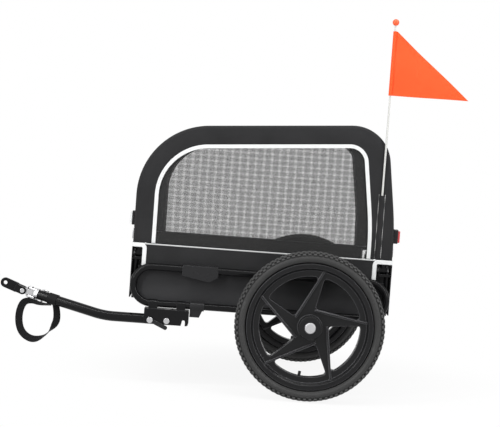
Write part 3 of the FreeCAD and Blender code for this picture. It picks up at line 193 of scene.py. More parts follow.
# Tyre: a ring with blocks, given as (out from the middle, radius, lean in radians, width, length, height,
# share of the pitch that the row is turned by)
WHEEL_PLANE = 0.32
AXLE = 0.2
WHEEL_CENTRE = Vector((0.0, -WHEEL_PLANE, AXLE))
TYRE_MIDDLE = 0.18185
TYRE_DEPTH = 0.0287
TYRE_WIDTH = 0.046
TYRE_ROUND_STEPS = 144
TYRE_WALL_STEPS = 36
WALL_RINGS = ((0.1728, 0.1745), (0.1795, 0.1815))
WALL_RING_RISE = 0.0007
TREAD_COUNT = 84
TREAD_ROWS = (
    (0.0050, 0.1966, 0.00, 0.0076, 0.0106, 0.0062, 0.0),
    (0.0128, 0.1946, 0.39, 0.0070, 0.0098, 0.0062, 0.5),
    (0.0190, 0.1911, 0.70, 0.0064, 0.0090, 0.0060, 0.0),
)
BLOCK_TOP_SHARE = 0.8
BLOCK_EDGE = 0.0005
# A face of a block or plate is picked when it faces the right way by more than this share
TOP_SHARE = 0.9

# Flag: heights of its sewn edge, its length, and its waves, whose turns are in radians
FLAG_LOW = 0.826
FLAG_HIGH = 0.998
FLAG_FLY = 0.207
FLAG_TIP = 0.004
FLAG_CLOTH = 0.0007
FLAG_ROWS = 32
FLAG_COLUMNS = 40
FLAG_SWING = 0.0075
FLAG_SWING_TURN = 6.0
FLAG_SWING_START_SHARE = 1 / 3
FLAG_LEAN = 0.004
FLAG_RIPPLE = 0.001
FLAG_RIPPLE_TURNS = (9, 5)
SLEEVE_RADIUS = 0.0046
SLEEVE_DEPTH_SHARE = 0.9
SLEEVE_SEAM_SHARE = 0.6
SLEEVE_STEPS = 16

# Flag pocket: its bulge round the rod and the stitches along its edges and its mouth
POCKET_SINK = 0.0002
POCKET_CLOTH = 0.0011
POCKET_ROWS = 40
POCKET_COLUMNS = 24
POCKET_RISE = 0.0012
POCKET_BULGE = 0.0068
POCKET_BULGE_REACH = 0.0052
POCKET_RIPPLE = 0.0005
POCKET_RIPPLE_TURNS = (21, 3)
STITCH_HALF = 0.0007
STITCH_RISE = 0.0005
STITCH_INSET = 0.0022
EDGE_STITCH_COUNT = 38
EDGE_STITCH_START = 0.002
EDGE_STITCH_PITCH = 0.00455
EDGE_STITCH_RUN = 0.0030
EDGE_STITCH_LIFT = 0.0023
MOUTH_STITCH_COUNT = 5
MOUTH_STITCH_DROP = 0.006
MOUTH_STITCH_PITCH = 0.0034
MOUTH_STITCH_RUN = 0.0026
MOUTH_STITCH_LIFT = 0.0028

# Strap: (forward, up) points along its loop
STRAP_ROUTE = (
    (0.703, 0.192),
    (0.729, 0.191),
    (0.755, 0.199),
    (0.777, 0.197),
    (0.788, 0.170),
    (0.788, 0.135),
    (0.776, 0.107),
    (0.747, 0.091),
    (0.716, 0.103),
    (0.693, 0.129),
    (0.681, 0.159),
    (0.690, 0.194),
)
STRAP_SPREAD = -0.2012
STRAP_WIDTH = 0.02
STRAP_HALF_CLOTH = 0.0009
STRAP_STEPS = 12
# (share of the half width, share of the half thickness) round its section
STRAP_SECTION = (
    (-1.0, 0.0), (-0.96, 1.0), (-0.5, 1.0), (0.0, 1.0), (0.5, 1.0), (0.96, 1.0),
    (1.0, 0.0), (0.96, -1.0), (0.5, -1.0), (0.0, -1.0), (-0.5, -1.0), (-0.96, -1.0),
)
# (share of its length, twist), flat towards the left where it hangs free
STRAP_TWIST = (
    (0.0, 20.0), (0.12, 45.0), (0.3, 82.0), (0.5, 76.0),
    (0.62, 66.0), (0.78, 4.0), (0.92, -70.0), (1.0, -55.0),
)

# Shares of a noise over which clouds and dust set in, and edges that catch light as if rounded, with the
# shares of facing over which a painted highlight is laid along them
CLOUD_SHARES = (0.3, 0.7)
DUST_SHARES = (0.55, 0.85)
EDGE_ROUND = 0.0022
EDGE_SAMPLES = 6
EDGE_FACING_SHARES = (0.76, 0.96)

# Hard finishes: roughness where clear and where cloudy, grains to the metre, depth of the grain, and where
# they differ from the usual, strength of the reflection, shade of the dust and of the painted edge highlight
HARD_FINISHES = {
    "paint": dict(smooth=0.10, rough=0.18, grain=700.0, depth=0.00002, gloss=0.13, edge_highlight=6.0),
    "moulding": dict(smooth=0.24, rough=0.36, grain=900.0, depth=0.00008, gloss=0.16, edge_highlight=4.0),
    "rim": dict(
        smooth=0.14, rough=0.24, grain=900.0, depth=0.00001, gloss=0.16, edge_highlight=11.0, edge_round=0.0045),
    "steel": dict(smooth=0.22, rough=0.38, grain=1200.0, depth=0.00002, metallic=1.0, dust=0.9),
    "ball": dict(smooth=0.25, rough=0.35, grain=300.0, depth=0.00002, dust=1.05),
    "rod": dict(smooth=0.3, rough=0.42, grain=300.0, depth=0.00002, dust=1.05),
    "thread": dict(smooth=0.6, rough=0.8, grain=2000.0, depth=0.00002),
}
RIM_SHADE = 0.55
STITCH_COLOUR = (0.48, 0.48, 0.48, 1.0)

# Soft finishes: distance between threads or prisms, or their number to the metre or across the width, depth
# of the relief, and shades of the base colour
CABIN_WEAVE = dict(pitch=0.0011, depth=0.00022, mottle=0.2, roughness=0.8, sheen=0.03)
WEAVE_SHADES = (0.82, 1.18)
# Tub cloth's paler share low down, below the given heights: painted light thrown up from the floor
TUB_PAINTED_FLOOR_LIGHT = 1.6
PAINTED_FLOOR_LIGHT_HEIGHTS = (0.24, 0.33)
NET_THREAD_SHARE = 0.13
NET_EDGE_SHARES = (0.92, 1.02)
NET_DEPTH = 0.0004
TAPE_CELLS = 700.0
TAPE_DEPTH = 0.0002
TAPE_RELIEF_SHARE = 0.5
TAPE_SHADE = 0.88
PIPING_SHADE = 0.7
FLAG_PITCH = 0.0008
FLAG_DEPTH = 0.0002
FLAG_MOTTLE = 0.3
FLAG_MOTTLE_SHARES = (0.9, 1.1)
FLAG_SHADE = 0.9
LENS_PITCH = 0.0042
LENS_DEPTH = 0.0006
LENS_PAINTED_HOLLOW_SHADE = 0.55
WEBBING_RIBS = 170
WEBBING_CORDS = 9
WEBBING_DEPTH = 0.0003
WEBBING_PAINTED_LIGHT_SHADES = (0.7, 1.4)
ZIP_SHADES = (0.7, 2.6)
ZIP_DEPTH = 0.0006
ZIP_COIL_SHARES = (0.13, 0.17)
ZIP_TOOTH_SHARES = (-0.3, 0.5)
ZIP_ROUGHNESS = (0.75, 0.35)

# Rubber: how far off the tyre's body a block counts as raised, where the tread begins, and their shades:
# painted shade in the grooves, and paler blocks
RUBBER_GRAIN = 500.0
RUBBER_DEPTH = 0.0002
RUBBER_DUST = 1.9
RAISED_SHARES = (1.06, 1.18)
CROWN_RADII = (0.1865, 0.1890)
GROOVE_PAINTED_SHADE = 0.35
BLOCK_SHADE = 1.6

# Camera as the trailer sees it, since the photograph shows the trailer nose-up on its hitch. The lens and
# the sensor are in millimetres
CAMERA_PLACE = (-0.194, -3.91, 0.689)
CAMERA_PITCH = 4.2
CAMERA_TILT = 3.23
CAMERA_LENS = 98.25
CAMERA_SENSOR = 36.0
CAMERA_FAR = 200.0

# Lamps as (name, place, width, height, watts): long panels, so that tubes and edges show a line of light
LAMP_TARGET = (-0.1, 0.0, 0.35)
LAMPS = (
    ("left_panel", (-2.6, -2.6, 1.9), 0.25, 2.6, 62.0),
    ("right_panel", (2.6, -2.3, 1.7), 0.25, 2.4, 42.0),
    ("top_panel", (0.1, -1.3, 3.0), 4.5, 0.22, 62.0),
)

# Floor and surroundings, seen white: the floor keeps a share of its own shading near the trailer
WHITE = (1.0, 1.0, 1.0, 1.0)
WORLD_STRENGTH = 0.52
FLOOR_SIZE = 60.0
FLOOR_DROP = 0.002
FLOOR_COLOUR = (0.86, 0.86, 0.86, 1.0)
FLOOR_WHITE_RADII = (0.35, 0.8)
FLOOR_WHITE_SHARES = (0.90, 1.0)


# Sizes and colours that a user may change

def length(name, description, default):
    return bpy.props.FloatProperty(
        name=name, description=description, default=default, min=0.0, max=1.0, unit="LENGTH")


def colour(name, description, default):
    return bpy.props.FloatVectorProperty(
        name=name, description=description, default=default, size=4, subtype="COLOR", min=0.0, max=1.0)


class TrailerFabric(bpy.types.PropertyGroup):
    """Sizes of the cabin's cloth and trim."""
    wrinkle: length("Wrinkle", "Depth of the cloth's slow wrinkles", 0.0012)
    roof_sag: length("Roof sag", "How far the roof hangs between the hoops", 0.007)
    edge_round: length("Edge round", "Rounding of the cover over the hoops", 0.011)
    lip: length("Edge lip", "Depth of the cover's turned edge on each side", 0.007)
    cloth: length("Cloth", "Thickness of the cabin cloth", 0.0016)
    tape_width: length("Tape width", "Width of the reflective window tape", 0.0105)
    hem_height: length("Hem height", "Height of the pale hem round the tub", 0.0038)
    mesh_pitch: length("Mesh pitch", "Distance between the window mesh's upright threads", 0.00255)
    mesh_row: length("Mesh row", "Distance between the window mesh's level threads", 0.00173)


class TrailerColours(bpy.types.PropertyGroup):
    """Colours of the trailer's finishes."""
    cloth: colour("Cloth", "Cabin cloth", (0.021, 0.021, 0.022, 1.0))
    thread: colour("Thread", "Window mesh threads", (0.055, 0.055, 0.055, 1.0))
    tape: colour("Tape", "Reflective tape and hem", (0.74, 0.75, 0.75, 1.0))
    paint: colour("Paint", "Painted tubes", (0.006, 0.006, 0.0065, 1.0))
    moulding: colour("Moulding", "Moulded black plastic", (0.016, 0.016, 0.017, 1.0))
    rubber: colour("Rubber", "Tyres", (0.034, 0.034, 0.034, 1.0))
    steel: colour("Steel", "Bright steel", (0.54, 0.54, 0.55, 1.0))
    flag: colour("Flag", "Flag and its ball", (0.92, 0.105, 0.026, 1.0))
    rod: colour("Rod", "Flag rod", (0.55, 0.55, 0.53, 1.0))
    red: colour("Red lens", "Rear reflectors", (0.55, 0.008, 0.012, 1.0))
    clear: colour("Clear lens", "Front reflectors", (0.80, 0.82, 0.83, 1.0))


# Node helpers

def feed(tree, value, socket):
    """Sets a constant on a socket, or links a changing value to it."""
    if isinstance(value, (int, float, tuple)):
        socket.default_value = value
    else:
        tree.links.new(value, socket)


def set_values(node, **values):
    for name, value in values.items():
        node.inputs[name.replace("_", " ")].default_value = value


def group_with(name, inputs, outputs):
    """An empty shader node group, with the sockets that it reads and fills."""
    group = bpy.data.node_groups.new(name, "ShaderNodeTree")
    for direction, sockets in (("INPUT", inputs), ("OUTPUT", outputs)):
        for socket in sockets:
            group.interface.new_socket(socket, in_out=direction, socket_type="NodeSocketFloat")
    return group, group.nodes.new("NodeGroupInput").outputs, group.nodes.new("NodeGroupOutput").inputs


def math_node(tree, operation, first, second=None):
    node = tree.nodes.new("ShaderNodeMath")
    node.operation = operation
    feed(tree, first, node.inputs[0])
    if second is not None:
        feed(tree, second, node.inputs[1])
    return node.outputs[0]


def noise_node(tree, vector, scale, detail, roughness):
    node = tree.nodes.new("ShaderNodeTexNoise")
    for name, value in (("Vector", vector), ("Scale", scale), ("Detail", detail), ("Roughness", roughness)):
        feed(tree, value, node.inputs[name])
    return node.outputs["Fac"]


def ramp_between(tree, value, low, high, out_low, out_high):
    node = tree.nodes.new("ShaderNodeMapRange")
    node.interpolation_type = "SMOOTHSTEP"
    tree.links.new(value, node.inputs["Value"])
    for name, number in (("From Min", low), ("From Max", high), ("To Min", out_low), ("To Max", out_high)):
        feed(tree, number, node.inputs[name])
    return node.outputs["Result"]


def place_in(tree, kind="Object"):
    return tree.nodes.new("ShaderNodeTexCoord").outputs[kind]


def axes_of(tree, place):
    split = tree.nodes.new("ShaderNodeSeparateXYZ")
    tree.links.new(place, split.inputs[0])
    return split.outputs


def wave(tree, kind, distance, turns):
    """A sine or cosine along a distance, with so many radians to the metre."""
    return math_node(tree, kind, math_node(tree, "MULTIPLY", distance, turns))


def hypotenuse(tree, first, second):
    squares = [math_node(tree, "MULTIPLY", side, side) for side in (first, second)]
    return math_node(tree, "SQRT", math_node(tree, "ADD", *squares))


def bump(tree, height, shader, distance, strength):
    node = tree.nodes.new("ShaderNodeBump")
    set_values(node, Distance=distance, Strength=strength)
    tree.links.new(height, node.inputs["Height"])
    tree.links.new(node.outputs["Normal"], shader.inputs["Normal"])
    return node


def coat(tree, shader, shade, height, depth, relief_share=1.0, **values):
    """Gives a shader its colour, its relief and its constants."""
    feed(tree, shade, shader.inputs["Base Color"])
    set_values(shader, **values)
    return bump(tree, height, shader, depth, relief_share)


def tinted(tree, under, shade, mask):
    """Lays a constant colour over a constant or changing one where the mask says so."""
    mix = tree.nodes.new("ShaderNodeMix")
    mix.data_type = "RGBA"
    mix.inputs["B"].default_value = shade
    feed(tree, under, mix.inputs["A"])
    tree.links.new(mask, mix.inputs["Factor"])
    return mix.outputs["Result"]


def scaled(base, share):
    return tuple(channel * share for channel in base[:3]) + (1.0,)


def seen_directly(tree):
    """One for rays that the camera, a reflection or a clear material sends out."""
    path = tree.nodes.new("ShaderNodeLightPath").outputs
    beyond = math_node(tree, "MAXIMUM", path["Is Glossy Ray"], path["Is Transmission Ray"])
    return math_node(tree, "MAXIMUM", path["Is Camera Ray"], beyond)


def mixed_surface(tree, share, first, second, output):
    """Mixes two shaders and puts the result out."""
    mix = tree.nodes.new("ShaderNodeMixShader")
    tree.links.new(share, mix.inputs["Fac"])
    tree.links.new(first.outputs[0], mix.inputs[1])
    tree.links.new(second.outputs[0], mix.inputs[2])
    tree.links.new(mix.outputs[0], tree.nodes[output].inputs["Surface"])


# Node groups

def weave_group():
    """A plain weave seen from X, Y or Z: height, and a slow mottling for the colour."""
    group, given, result = group_with("cloth_weave", ("Thread Pitch", "Mottle"), ("Height", "Shade"))
    place = place_in(group)
    axes = axes_of(group, place)
    turns = math_node(group, "DIVIDE", math.pi, given["Thread Pitch"])
    warp = wave(group, "SINE", math_node(group, "ADD", axes["X"], axes["Y"]), turns)
    weft = wave(group, "SINE", axes["Z"], turns)
    height = math_node(group, "ABSOLUTE", math_node(group, "MULTIPLY", warp, weft))
    group.links.new(height, result["Height"])
    fine = noise_node(group, place, scale=9.0, detail=4.0, roughness=0.55)
    spread = math_node(group, "MULTIPLY", math_node(group, "SUBTRACT", fine, 0.5), given["Mottle"])
    group.links.new(math_node(group, "ADD", spread, 1.0), result["Shade"])
    return group


def net_group():
    """An open net in the upright plane: one where there is thread, nought in the holes."""
    group, given, result = group_with("open_net", ("Pitch", "Row", "Thread"), ("Mask", "Height"))
    axes = axes_of(group, place_in(group))
    waves = []
    for axis, spacing in (("X", "Pitch"), ("Z", "Row")):
        turns = math_node(group, "DIVIDE", 2 * math.pi, given[spacing])
        strand = wave(group, "COSINE", axes[axis], turns)
        waves.append(math_node(group, "ADD", math_node(group, "MULTIPLY", strand, 0.5), 0.5))
    thread = math_node(group, "MAXIMUM", *waves)
    limits = [math_node(group, "SUBTRACT", share, given["Thread"]) for share in NET_EDGE_SHARES]
    group.links.new(ramp_between(group, thread, *limits, 0.0, 1.0), result["Mask"])
    group.links.new(thread, result["Height"])
    return group


def surface_group():
    """Fine grain, a slow cloudiness and a little dust for hard finishes."""
    group, given, result = group_with(
        "hard_surface", ("Grain Scale", "Smooth", "Rough"), ("Height", "Roughness", "Dust"))
    place = place_in(group)
    grain = noise_node(group, place, scale=given["Grain Scale"], detail=2.0, roughness=0.5)
    group.links.new(grain, result["Height"])
    cloud = noise_node(group, place, scale=14.0, detail=5.0, roughness=0.6)
    rough = ramp_between(group, cloud, *CLOUD_SHARES, given["Smooth"], given["Rough"])
    group.links.new(rough, result["Roughness"])
    dust = noise_node(group, place, scale=60.0, detail=6.0, roughness=0.7)
    group.links.new(ramp_between(group, dust, *DUST_SHARES, 0.0, 1.0), result["Dust"])
    return group


def prism_group():
    """A grid of small bumps in the plane across the trailer."""
    group, given, result = group_with("prism_grid", ("Pitch",), ("Height",))
    axes = axes_of(group, place_in(group))
    turns = math_node(group, "DIVIDE", 2 * math.pi, given["Pitch"])
    total = math_node(group, "ADD", *[wave(group, "COSINE", axes[axis], turns) for axis in ("Y", "Z")])
    height = math_node(group, "ADD", math_node(group, "MULTIPLY", total, 0.25), 0.5)
    group.links.new(height, result["Height"])
    return group


# Materials

GROUPS = {}
MATERIALS = {}


def new_material(name):
    material = bpy.data.materials.new(name)
    material.use_nodes = True
    return material, material.node_tree, material.node_tree.nodes["Principled BSDF"]


def place_group(tree, group, **values):
    node = tree.nodes.new("ShaderNodeGroup")
    node.node_tree = GROUPS[group]
    set_values(node, **values)
    return node.outputs


def cloth_material(name, base, pitch, depth, mottle, roughness, sheen, painted_floor_light=1.0):
    """Woven cloth, paler low down where its share for that is over one: painted light thrown up from the
    floor.
    """
    material, tree, shader = new_material(name)
    weave = place_group(tree, "weave", Thread_Pitch=pitch, Mottle=mottle)
    darker, paler = [scaled(base, shade) for shade in WEAVE_SHADES]
    mask = ramp_between(tree, weave["Shade"], 1.0 - mottle / 3, 1.0 + mottle / 3, 0.0, 1.0)
    mottled = tinted(tree, darker, paler, mask)
    # Paler below the given heights: painted light thrown up from the floor
    painted_floor_light_mask = ramp_between(tree, axes_of(tree, place_in(tree))["Z"], *PAINTED_FLOOR_LIGHT_HEIGHTS, 1.0, 0.0)
    shade = tinted(tree, mottled, scaled(base, painted_floor_light), painted_floor_light_mask)
    coat(tree, shader, shade, weave["Height"], depth,
         Roughness=roughness, Sheen_Weight=sheen, Sheen_Roughness=0.5, Specular_IOR_Level=0.14)
    return material


def hard_material(name, base, smooth, rough, grain, depth,
                  metallic=0.0, dust=1.25, gloss=0.5, edge_round=EDGE_ROUND, edge_highlight=1.0):
    """A hard finish with fine grain, rounded edges and a painted highlight along them."""
    material, tree, shader = new_material(name)
    surface = place_group(tree, "surface", Grain_Scale=grain, Smooth=smooth, Rough=rough)
    edge = tree.nodes.new("ShaderNodeBevel")
    edge.samples = EDGE_SAMPLES
    edge.inputs["Radius"].default_value = edge_round
    facing = tree.nodes.new("ShaderNodeVectorMath")
    facing.operation = "DOT_PRODUCT"
    tree.links.new(edge.outputs["Normal"], facing.inputs[0])
    tree.links.new(tree.nodes.new("ShaderNodeNewGeometry").outputs["Normal"], facing.inputs[1])
    # Paler where the rounded normal turns from the face's own: a painted highlight along every edge
    painted_highlight = ramp_between(tree, facing.outputs["Value"], *EDGE_FACING_SHARES, 1.0, 0.0)
    dusty = tinted(tree, base, scaled(base, dust), surface["Dust"])
    shade = tinted(tree, dusty, scaled(base, edge_highlight), painted_highlight)
    relief = coat(tree, shader, shade, surface["Height"], depth, Metallic=metallic, Specular_IOR_Level=gloss)
    tree.links.new(edge.outputs["Normal"], relief.inputs["Normal"])
    tree.links.new(surface["Roughness"], shader.inputs["Roughness"])
    return material


def net_material(name, base, pitch, row):
    """An open net: clear between its threads."""
    material, tree, shader = new_material(name)
    net = place_group(tree, "net", Pitch=pitch, Row=row, Thread=NET_THREAD_SHARE)
    coat(tree, shader, base, net["Height"], NET_DEPTH, Roughness=0.7, Specular_IOR_Level=0.2)
    tree.links.new(net["Mask"], shader.inputs["Alpha"])
    return material


def tape_material(name, base):
    """Pale woven reflective tape with a fine cell pattern."""
    material, tree, shader = new_material(name)
    place = place_in(tree)
    cells = tree.nodes.new("ShaderNodeTexVoronoi")
    cells.inputs["Scale"].default_value = TAPE_CELLS
    tree.links.new(place, cells.inputs["Vector"])
    cloud = noise_node(tree, place, scale=40.0, detail=3.0, roughness=0.6)
    shade = tinted(tree, scaled(base, TAPE_SHADE), base, cloud)
    coat(tree, shader, shade, cells.outputs["Distance"], TAPE_DEPTH, TAPE_RELIEF_SHARE, Roughness=0.38)
    return material


def lens_material(name, base):
    """Moulded reflector lens: a grid of small prisms under a smooth face, with painted shade in the hollows
    between them.
    """
    material, tree, shader = new_material(name)
    height = place_group(tree, "lens", Pitch=LENS_PITCH)["Height"]
    # Darker where the prisms are low: painted shade in the hollows
    shade = tinted(tree, scaled(base, LENS_PAINTED_HOLLOW_SHADE), base, height)
    coat(tree, shader, shade, height, LENS_DEPTH, Roughness=0.18, Coat_Weight=1.0, Coat_Roughness=0.04)
    return material


def flag_material(name, base):
    """Thin bright cloth."""
    material, tree, shader = new_material(name)
    weave = place_group(tree, "weave", Thread_Pitch=FLAG_PITCH, Mottle=FLAG_MOTTLE)
    mask = ramp_between(tree, weave["Shade"], *FLAG_MOTTLE_SHARES, 0.0, 1.0)
    shade = tinted(tree, scaled(base, FLAG_SHADE), base, mask)
    coat(tree, shader, shade, weave["Height"], FLAG_DEPTH, Roughness=0.55, Specular_IOR_Level=0.12)
    return material


def tread_masks(tree):
    """Where a tread block stands off the tyre's body, and where the tread runs."""
    axes = axes_of(tree, place_in(tree))
    radius = hypotenuse(tree, axes["X"], math_node(tree, "SUBTRACT", axes["Z"], AXLE))
    aside = math_node(tree, "SUBTRACT", math_node(tree, "ABSOLUTE", axes["Y"]), WHEEL_PLANE)
    out_share = math_node(tree, "DIVIDE", math_node(tree, "SUBTRACT", radius, TYRE_MIDDLE), TYRE_DEPTH / 2)
    aside_share = math_node(tree, "DIVIDE", aside, TYRE_WIDTH / 2)
    raised = ramp_between(tree, hypotenuse(tree, out_share, aside_share), *RAISED_SHARES, 0.0, 1.0)
    crown = ramp_between(tree, radius, *CROWN_RADII, 0.0, 1.0)
    return raised, crown


def rubber_material(name, base):
    """Dusty rubber, with painted shade in the grooves, and paler on the blocks."""
    material, tree, shader = new_material(name)
    surface = place_group(tree, "surface", Grain_Scale=RUBBER_GRAIN, Smooth=0.45, Rough=0.7)
    raised, crown = tread_masks(tree)
    # Darker between the blocks: painted shade in the grooves
    painted_groove_shade = math_node(tree, "MULTIPLY", crown, math_node(tree, "SUBTRACT", 1.0, raised))
    shade = base
    for share, mask in ((RUBBER_DUST, surface["Dust"]), (GROOVE_PAINTED_SHADE, painted_groove_shade), (BLOCK_SHADE, raised)):
        shade = tinted(tree, shade, scaled(base, share), mask)
    coat(tree, shader, shade, surface["Height"], RUBBER_DEPTH, Specular_IOR_Level=0.25)
    tree.links.new(surface["Roughness"], shader.inputs["Roughness"])
    return material


def webbing_material(name, base):
    """Narrow webbing with ribs across its length, read from its own UV map, with painted shade between the
    ribs and painted light on them.
    """
    material, tree, shader = new_material(name)
    axes = axes_of(tree, place_in(tree, "UV"))
    ribs = wave(tree, "SINE", axes["X"], 2 * math.pi * WEBBING_RIBS)
    cords = wave(tree, "SINE", axes["Y"], 2 * math.pi * WEBBING_CORDS)
    height = math_node(tree, "MULTIPLY", ribs, cords)
    # Darker in the valleys and paler on the ribs: painted shade and painted light following the relief
    darker, paler = [scaled(base, shade) for shade in WEBBING_PAINTED_LIGHT_SHADES]
    mask = ramp_between(tree, height, -1.0, 1.0, 0.0, 1.0)
    shade = tinted(tree, darker, paler, mask)
    coat(tree, shader, shade, height, WEBBING_DEPTH, Roughness=0.6, Specular_IOR_Level=0.12)
    return material


def zip_material(name, base):
    """A zip read from its own UV map: woven tape with a row of coil teeth along its middle."""
    material, tree, shader = new_material(name)
    axes = axes_of(tree, place_in(tree, "UV"))
    coil = wave(tree, "SINE", axes["X"], 2 * math.pi / ZIP_PITCH)
    off_middle = math_node(tree, "ABSOLUTE", math_node(tree, "SUBTRACT", axes["Y"], 0.5))
    in_middle = ramp_between(tree, off_middle, *ZIP_COIL_SHARES, 1.0, 0.0)
    tooth = math_node(tree, "MULTIPLY", ramp_between(tree, coil, *ZIP_TOOTH_SHARES, 0.0, 1.0), in_middle)
    tape, teeth = [scaled(base, shade) for shade in ZIP_SHADES]
    coat(tree, shader, tinted(tree, tape, teeth, tooth), tooth, ZIP_DEPTH, Specular_IOR_Level=0.2)
    tree.links.new(ramp_between(tree, tooth, 0.0, 1.0, *ZIP_ROUGHNESS), shader.inputs["Roughness"])
    return material


# Mesh helpers

def deselect_all():
    if bpy.context.object and bpy.context.object.mode != "OBJECT":
        bpy.ops.object.mode_set(mode="OBJECT")
    bpy.ops.object.select_all(action="DESELECT")


def make_active(piece):
    deselect_all()
    piece.select_set(True)
    bpy.context.view_layer.objects.active = piece


def thicken(piece, thickness, offset):
    make_active(piece)
    modifier = piece.modifiers.new("thickness", "SOLIDIFY")
    modifier.thickness = thickness
    modifier.offset = offset
    bpy.ops.object.modifier_apply(modifier=modifier.name)


def close_mesh(piece):
    """Merges doubles and turns every face outwards."""
    make_active(piece)
    bpy.ops.object.mode_set(mode="EDIT")
    bpy.ops.mesh.select_all(action="SELECT")
    bpy.ops.mesh.remove_doubles(threshold=MERGE_REACH)
    bpy.ops.mesh.normals_make_consistent(inside=False)
    bpy.ops.object.mode_set(mode="OBJECT")


def smooth(piece, degrees):
    make_active(piece)
    bpy.ops.object.shade_smooth_by_angle(angle=math.radians(degrees))


def joined(pieces):
    """Joins pieces into the first of them."""
    make_active(pieces[0])
    for piece in pieces[1:]:
        piece.select_set(True)
    bpy.ops.object.join()
    return pieces[0]


def cube(place, size, rotation=(0.0, 0.0, 0.0)):
    deselect_all()
    bpy.ops.mesh.primitive_cube_add(size=1.0, location=place, rotation=rotation, scale=size)
    bpy.ops.object.transform_apply(location=True, rotation=True, scale=True)
    return bpy.context.object


def select_faces(piece, wanted):
    """Selects only the faces that pass a test, in edit mode."""
    bpy.ops.mesh.select_mode(type="FACE")
    bpy.ops.mesh.select_all(action="DESELECT")
    for face in bmesh.from_edit_mesh(piece.data).faces:
        if wanted(face):
            face.select_set(True)
    bmesh.update_edit_mesh(piece.data)


def finish_piece(piece, material, body, slot=None, *replaced):
    piece.data.materials.clear()
    piece.data.materials.append(MATERIALS[material])
    if replaced:
        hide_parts(*replaced)
    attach(piece, body)
    return piece


def piece_from(name, builder, angle, thickness=0.0, offset=0.0):
    """A new mesh object made from a bmesh that the builder fills, thickened where it is cloth."""
    mesh = bpy.data.meshes.new(name)
    work = bmesh.new()
    builder(work)
    bmesh.ops.remove_doubles(work, verts=work.verts, dist=MERGE_REACH)
    bmesh.ops.recalc_face_normals(work, faces=work.faces)
    work.to_mesh(mesh)
    work.free()
    piece = bpy.data.objects.new(name, mesh)
    bpy.context.collection.objects.link(piece)
    if thickness:
        thicken(piece, thickness, offset)
    smooth(piece, angle)
    return piece


def mirror_copy(piece, name):
    """The right-hand twin of a left-hand piece, with its own mesh."""
    twin = piece.copy()
    twin.data = piece.data.copy()
    twin.name = twin.data.name = name
    bpy.context.collection.objects.link(twin)
    twin.data.transform(Matrix.Scale(-1.0, 4, Vector((0.0, 1.0, 0.0))))
    twin.data.flip_normals()
    return twin


def add_rows(work, rows, closed=False):
    """Fills quads between rows of points."""
    made = [[work.verts.new(point) for point in row] for row in rows]
    for first, second in zip(made, made[1:]):
        count = len(first)
        last = count if closed else count - 1
        for index in range(last):
            following = (index + 1) % count
            work.faces.new((first[index], first[following], second[following], second[index]))
    return made


def shares(count):
    return [step / count for step in range(count + 1)]


def add_sheet(work, ups, alongs, point_at):
    """Fills quads between the points for each value up a sheet and each value along it."""
    add_rows(work, [[point_at(up, along) for along in alongs] for up in ups])


def add_uv(work, name, made, along, across):
    """Maps rows of made points by a value for each row and one for each point in it."""
    uv = work.loops.layers.uv.new(name)
    table = {}
    for row, first in zip(made, along):
        for vert, second in zip(row, across):
            table[vert] = (first, second)
    for face in work.faces:
        for corner in face.loops:
            corner[uv].uv = table[corner.vert]


def running_lengths(line):
    lengths = [0.0]
    for before, after in zip(line, line[1:]):
        lengths.append(lengths[-1] + (after - before).length)
    return lengths


def heading(line, index):
    """The direction of a line of points at one of them."""
    return (line[min(index + 1, len(line) - 1)] - line[max(index - 1, 0)]).normalized()


def steps_across(line, reach):
    """For each point of a flat line, the step across it to its left."""
    steps = []
    for index in range(len(line)):
        along = heading(line, index)
        steps.append(Vector((-along.y, along.x)) * reach)
    return steps


def wrinkled(point, depth, scale=WRINKLE_SCALE):
    """A small slow push for cloth, the same at every run."""
    across = point[1] * scale * WRINKLE_STRETCH_SHARE + WRINKLE_START
    place = Vector((point[0] * scale, across, point[2] * scale))
    return depth * (noise.noise(place) + FINE_SHARE * noise.noise(place * FINE_SCALE + FINE_START))


# Outlines in the upright plane, as (station, height)

def rounded_corner(before, here, after, radius, steps):
    """Points along the arc that rounds one corner."""
    back = (before - here).normalized()
    ahead = (after - here).normalized()
    half = back.angle(ahead) / 2
    reach = radius / math.tan(half)
    centre = here + (back + ahead).normalized() * (radius / math.sin(half))
    first = here + back * reach - centre
    last = here + ahead * reach - centre
    turn = first.angle_signed(last)
    arc = []
    for step in range(steps + 1):
        spun = first.copy()
        spun.rotate(Matrix.Rotation(-turn * step / steps, 2))
        arc.append(centre + spun)
    return arc


def path_points(corners, radii, line_steps, arc_steps):
    """Points along straight runs joined by tangent arcs."""
    corners = [Vector(corner) for corner in corners]
    runs = []
    for index, (corner, radius) in enumerate(zip(corners, radii)):
        if radius == 0:
            runs.append([corner])
        else:
            runs.append(rounded_corner(
                corners[index - 1], corner, corners[index + 1], radius, arc_steps[index]))
    points = list(runs[0])
    for run, following, count in zip(runs, runs[1:], line_steps):
        points += [run[-1].lerp(following[0], step / count) for step in range(1, count)]
        points += following
    return points


def crossed(first, second):
    return first.x * second.y - first.y * second.x


def inset_outline(front, top, rear, foot):
    """Corners of the cabin outline with its own inset at the front, top and rear."""
    outer = (
        (CABIN_FRONT, foot), (CABIN_FRONT, ROOF_FRONT), (REAR_TOP, ROOF_REAR), (CABIN_REAR, REAR_BEND),
        (CABIN_REAR, foot),
    )
    lines = []
    for start, end, inset in zip(outer, outer[1:], (front, top, rear, rear)):
        along = (Vector(end) - Vector(start)).normalized()
        lines.append((Vector(start) + Vector((along.y, -along.x)) * inset, along))
    corners = [lines[0][0]]
    for (start, along), (other, turn) in zip(lines, lines[1:]):
        corners.append(start + along * (crossed(other - start, turn) / crossed(along, turn)))
    start, along = lines[-1]
    corners.append(start + along * ((foot - start.y) / along.y))
    return corners


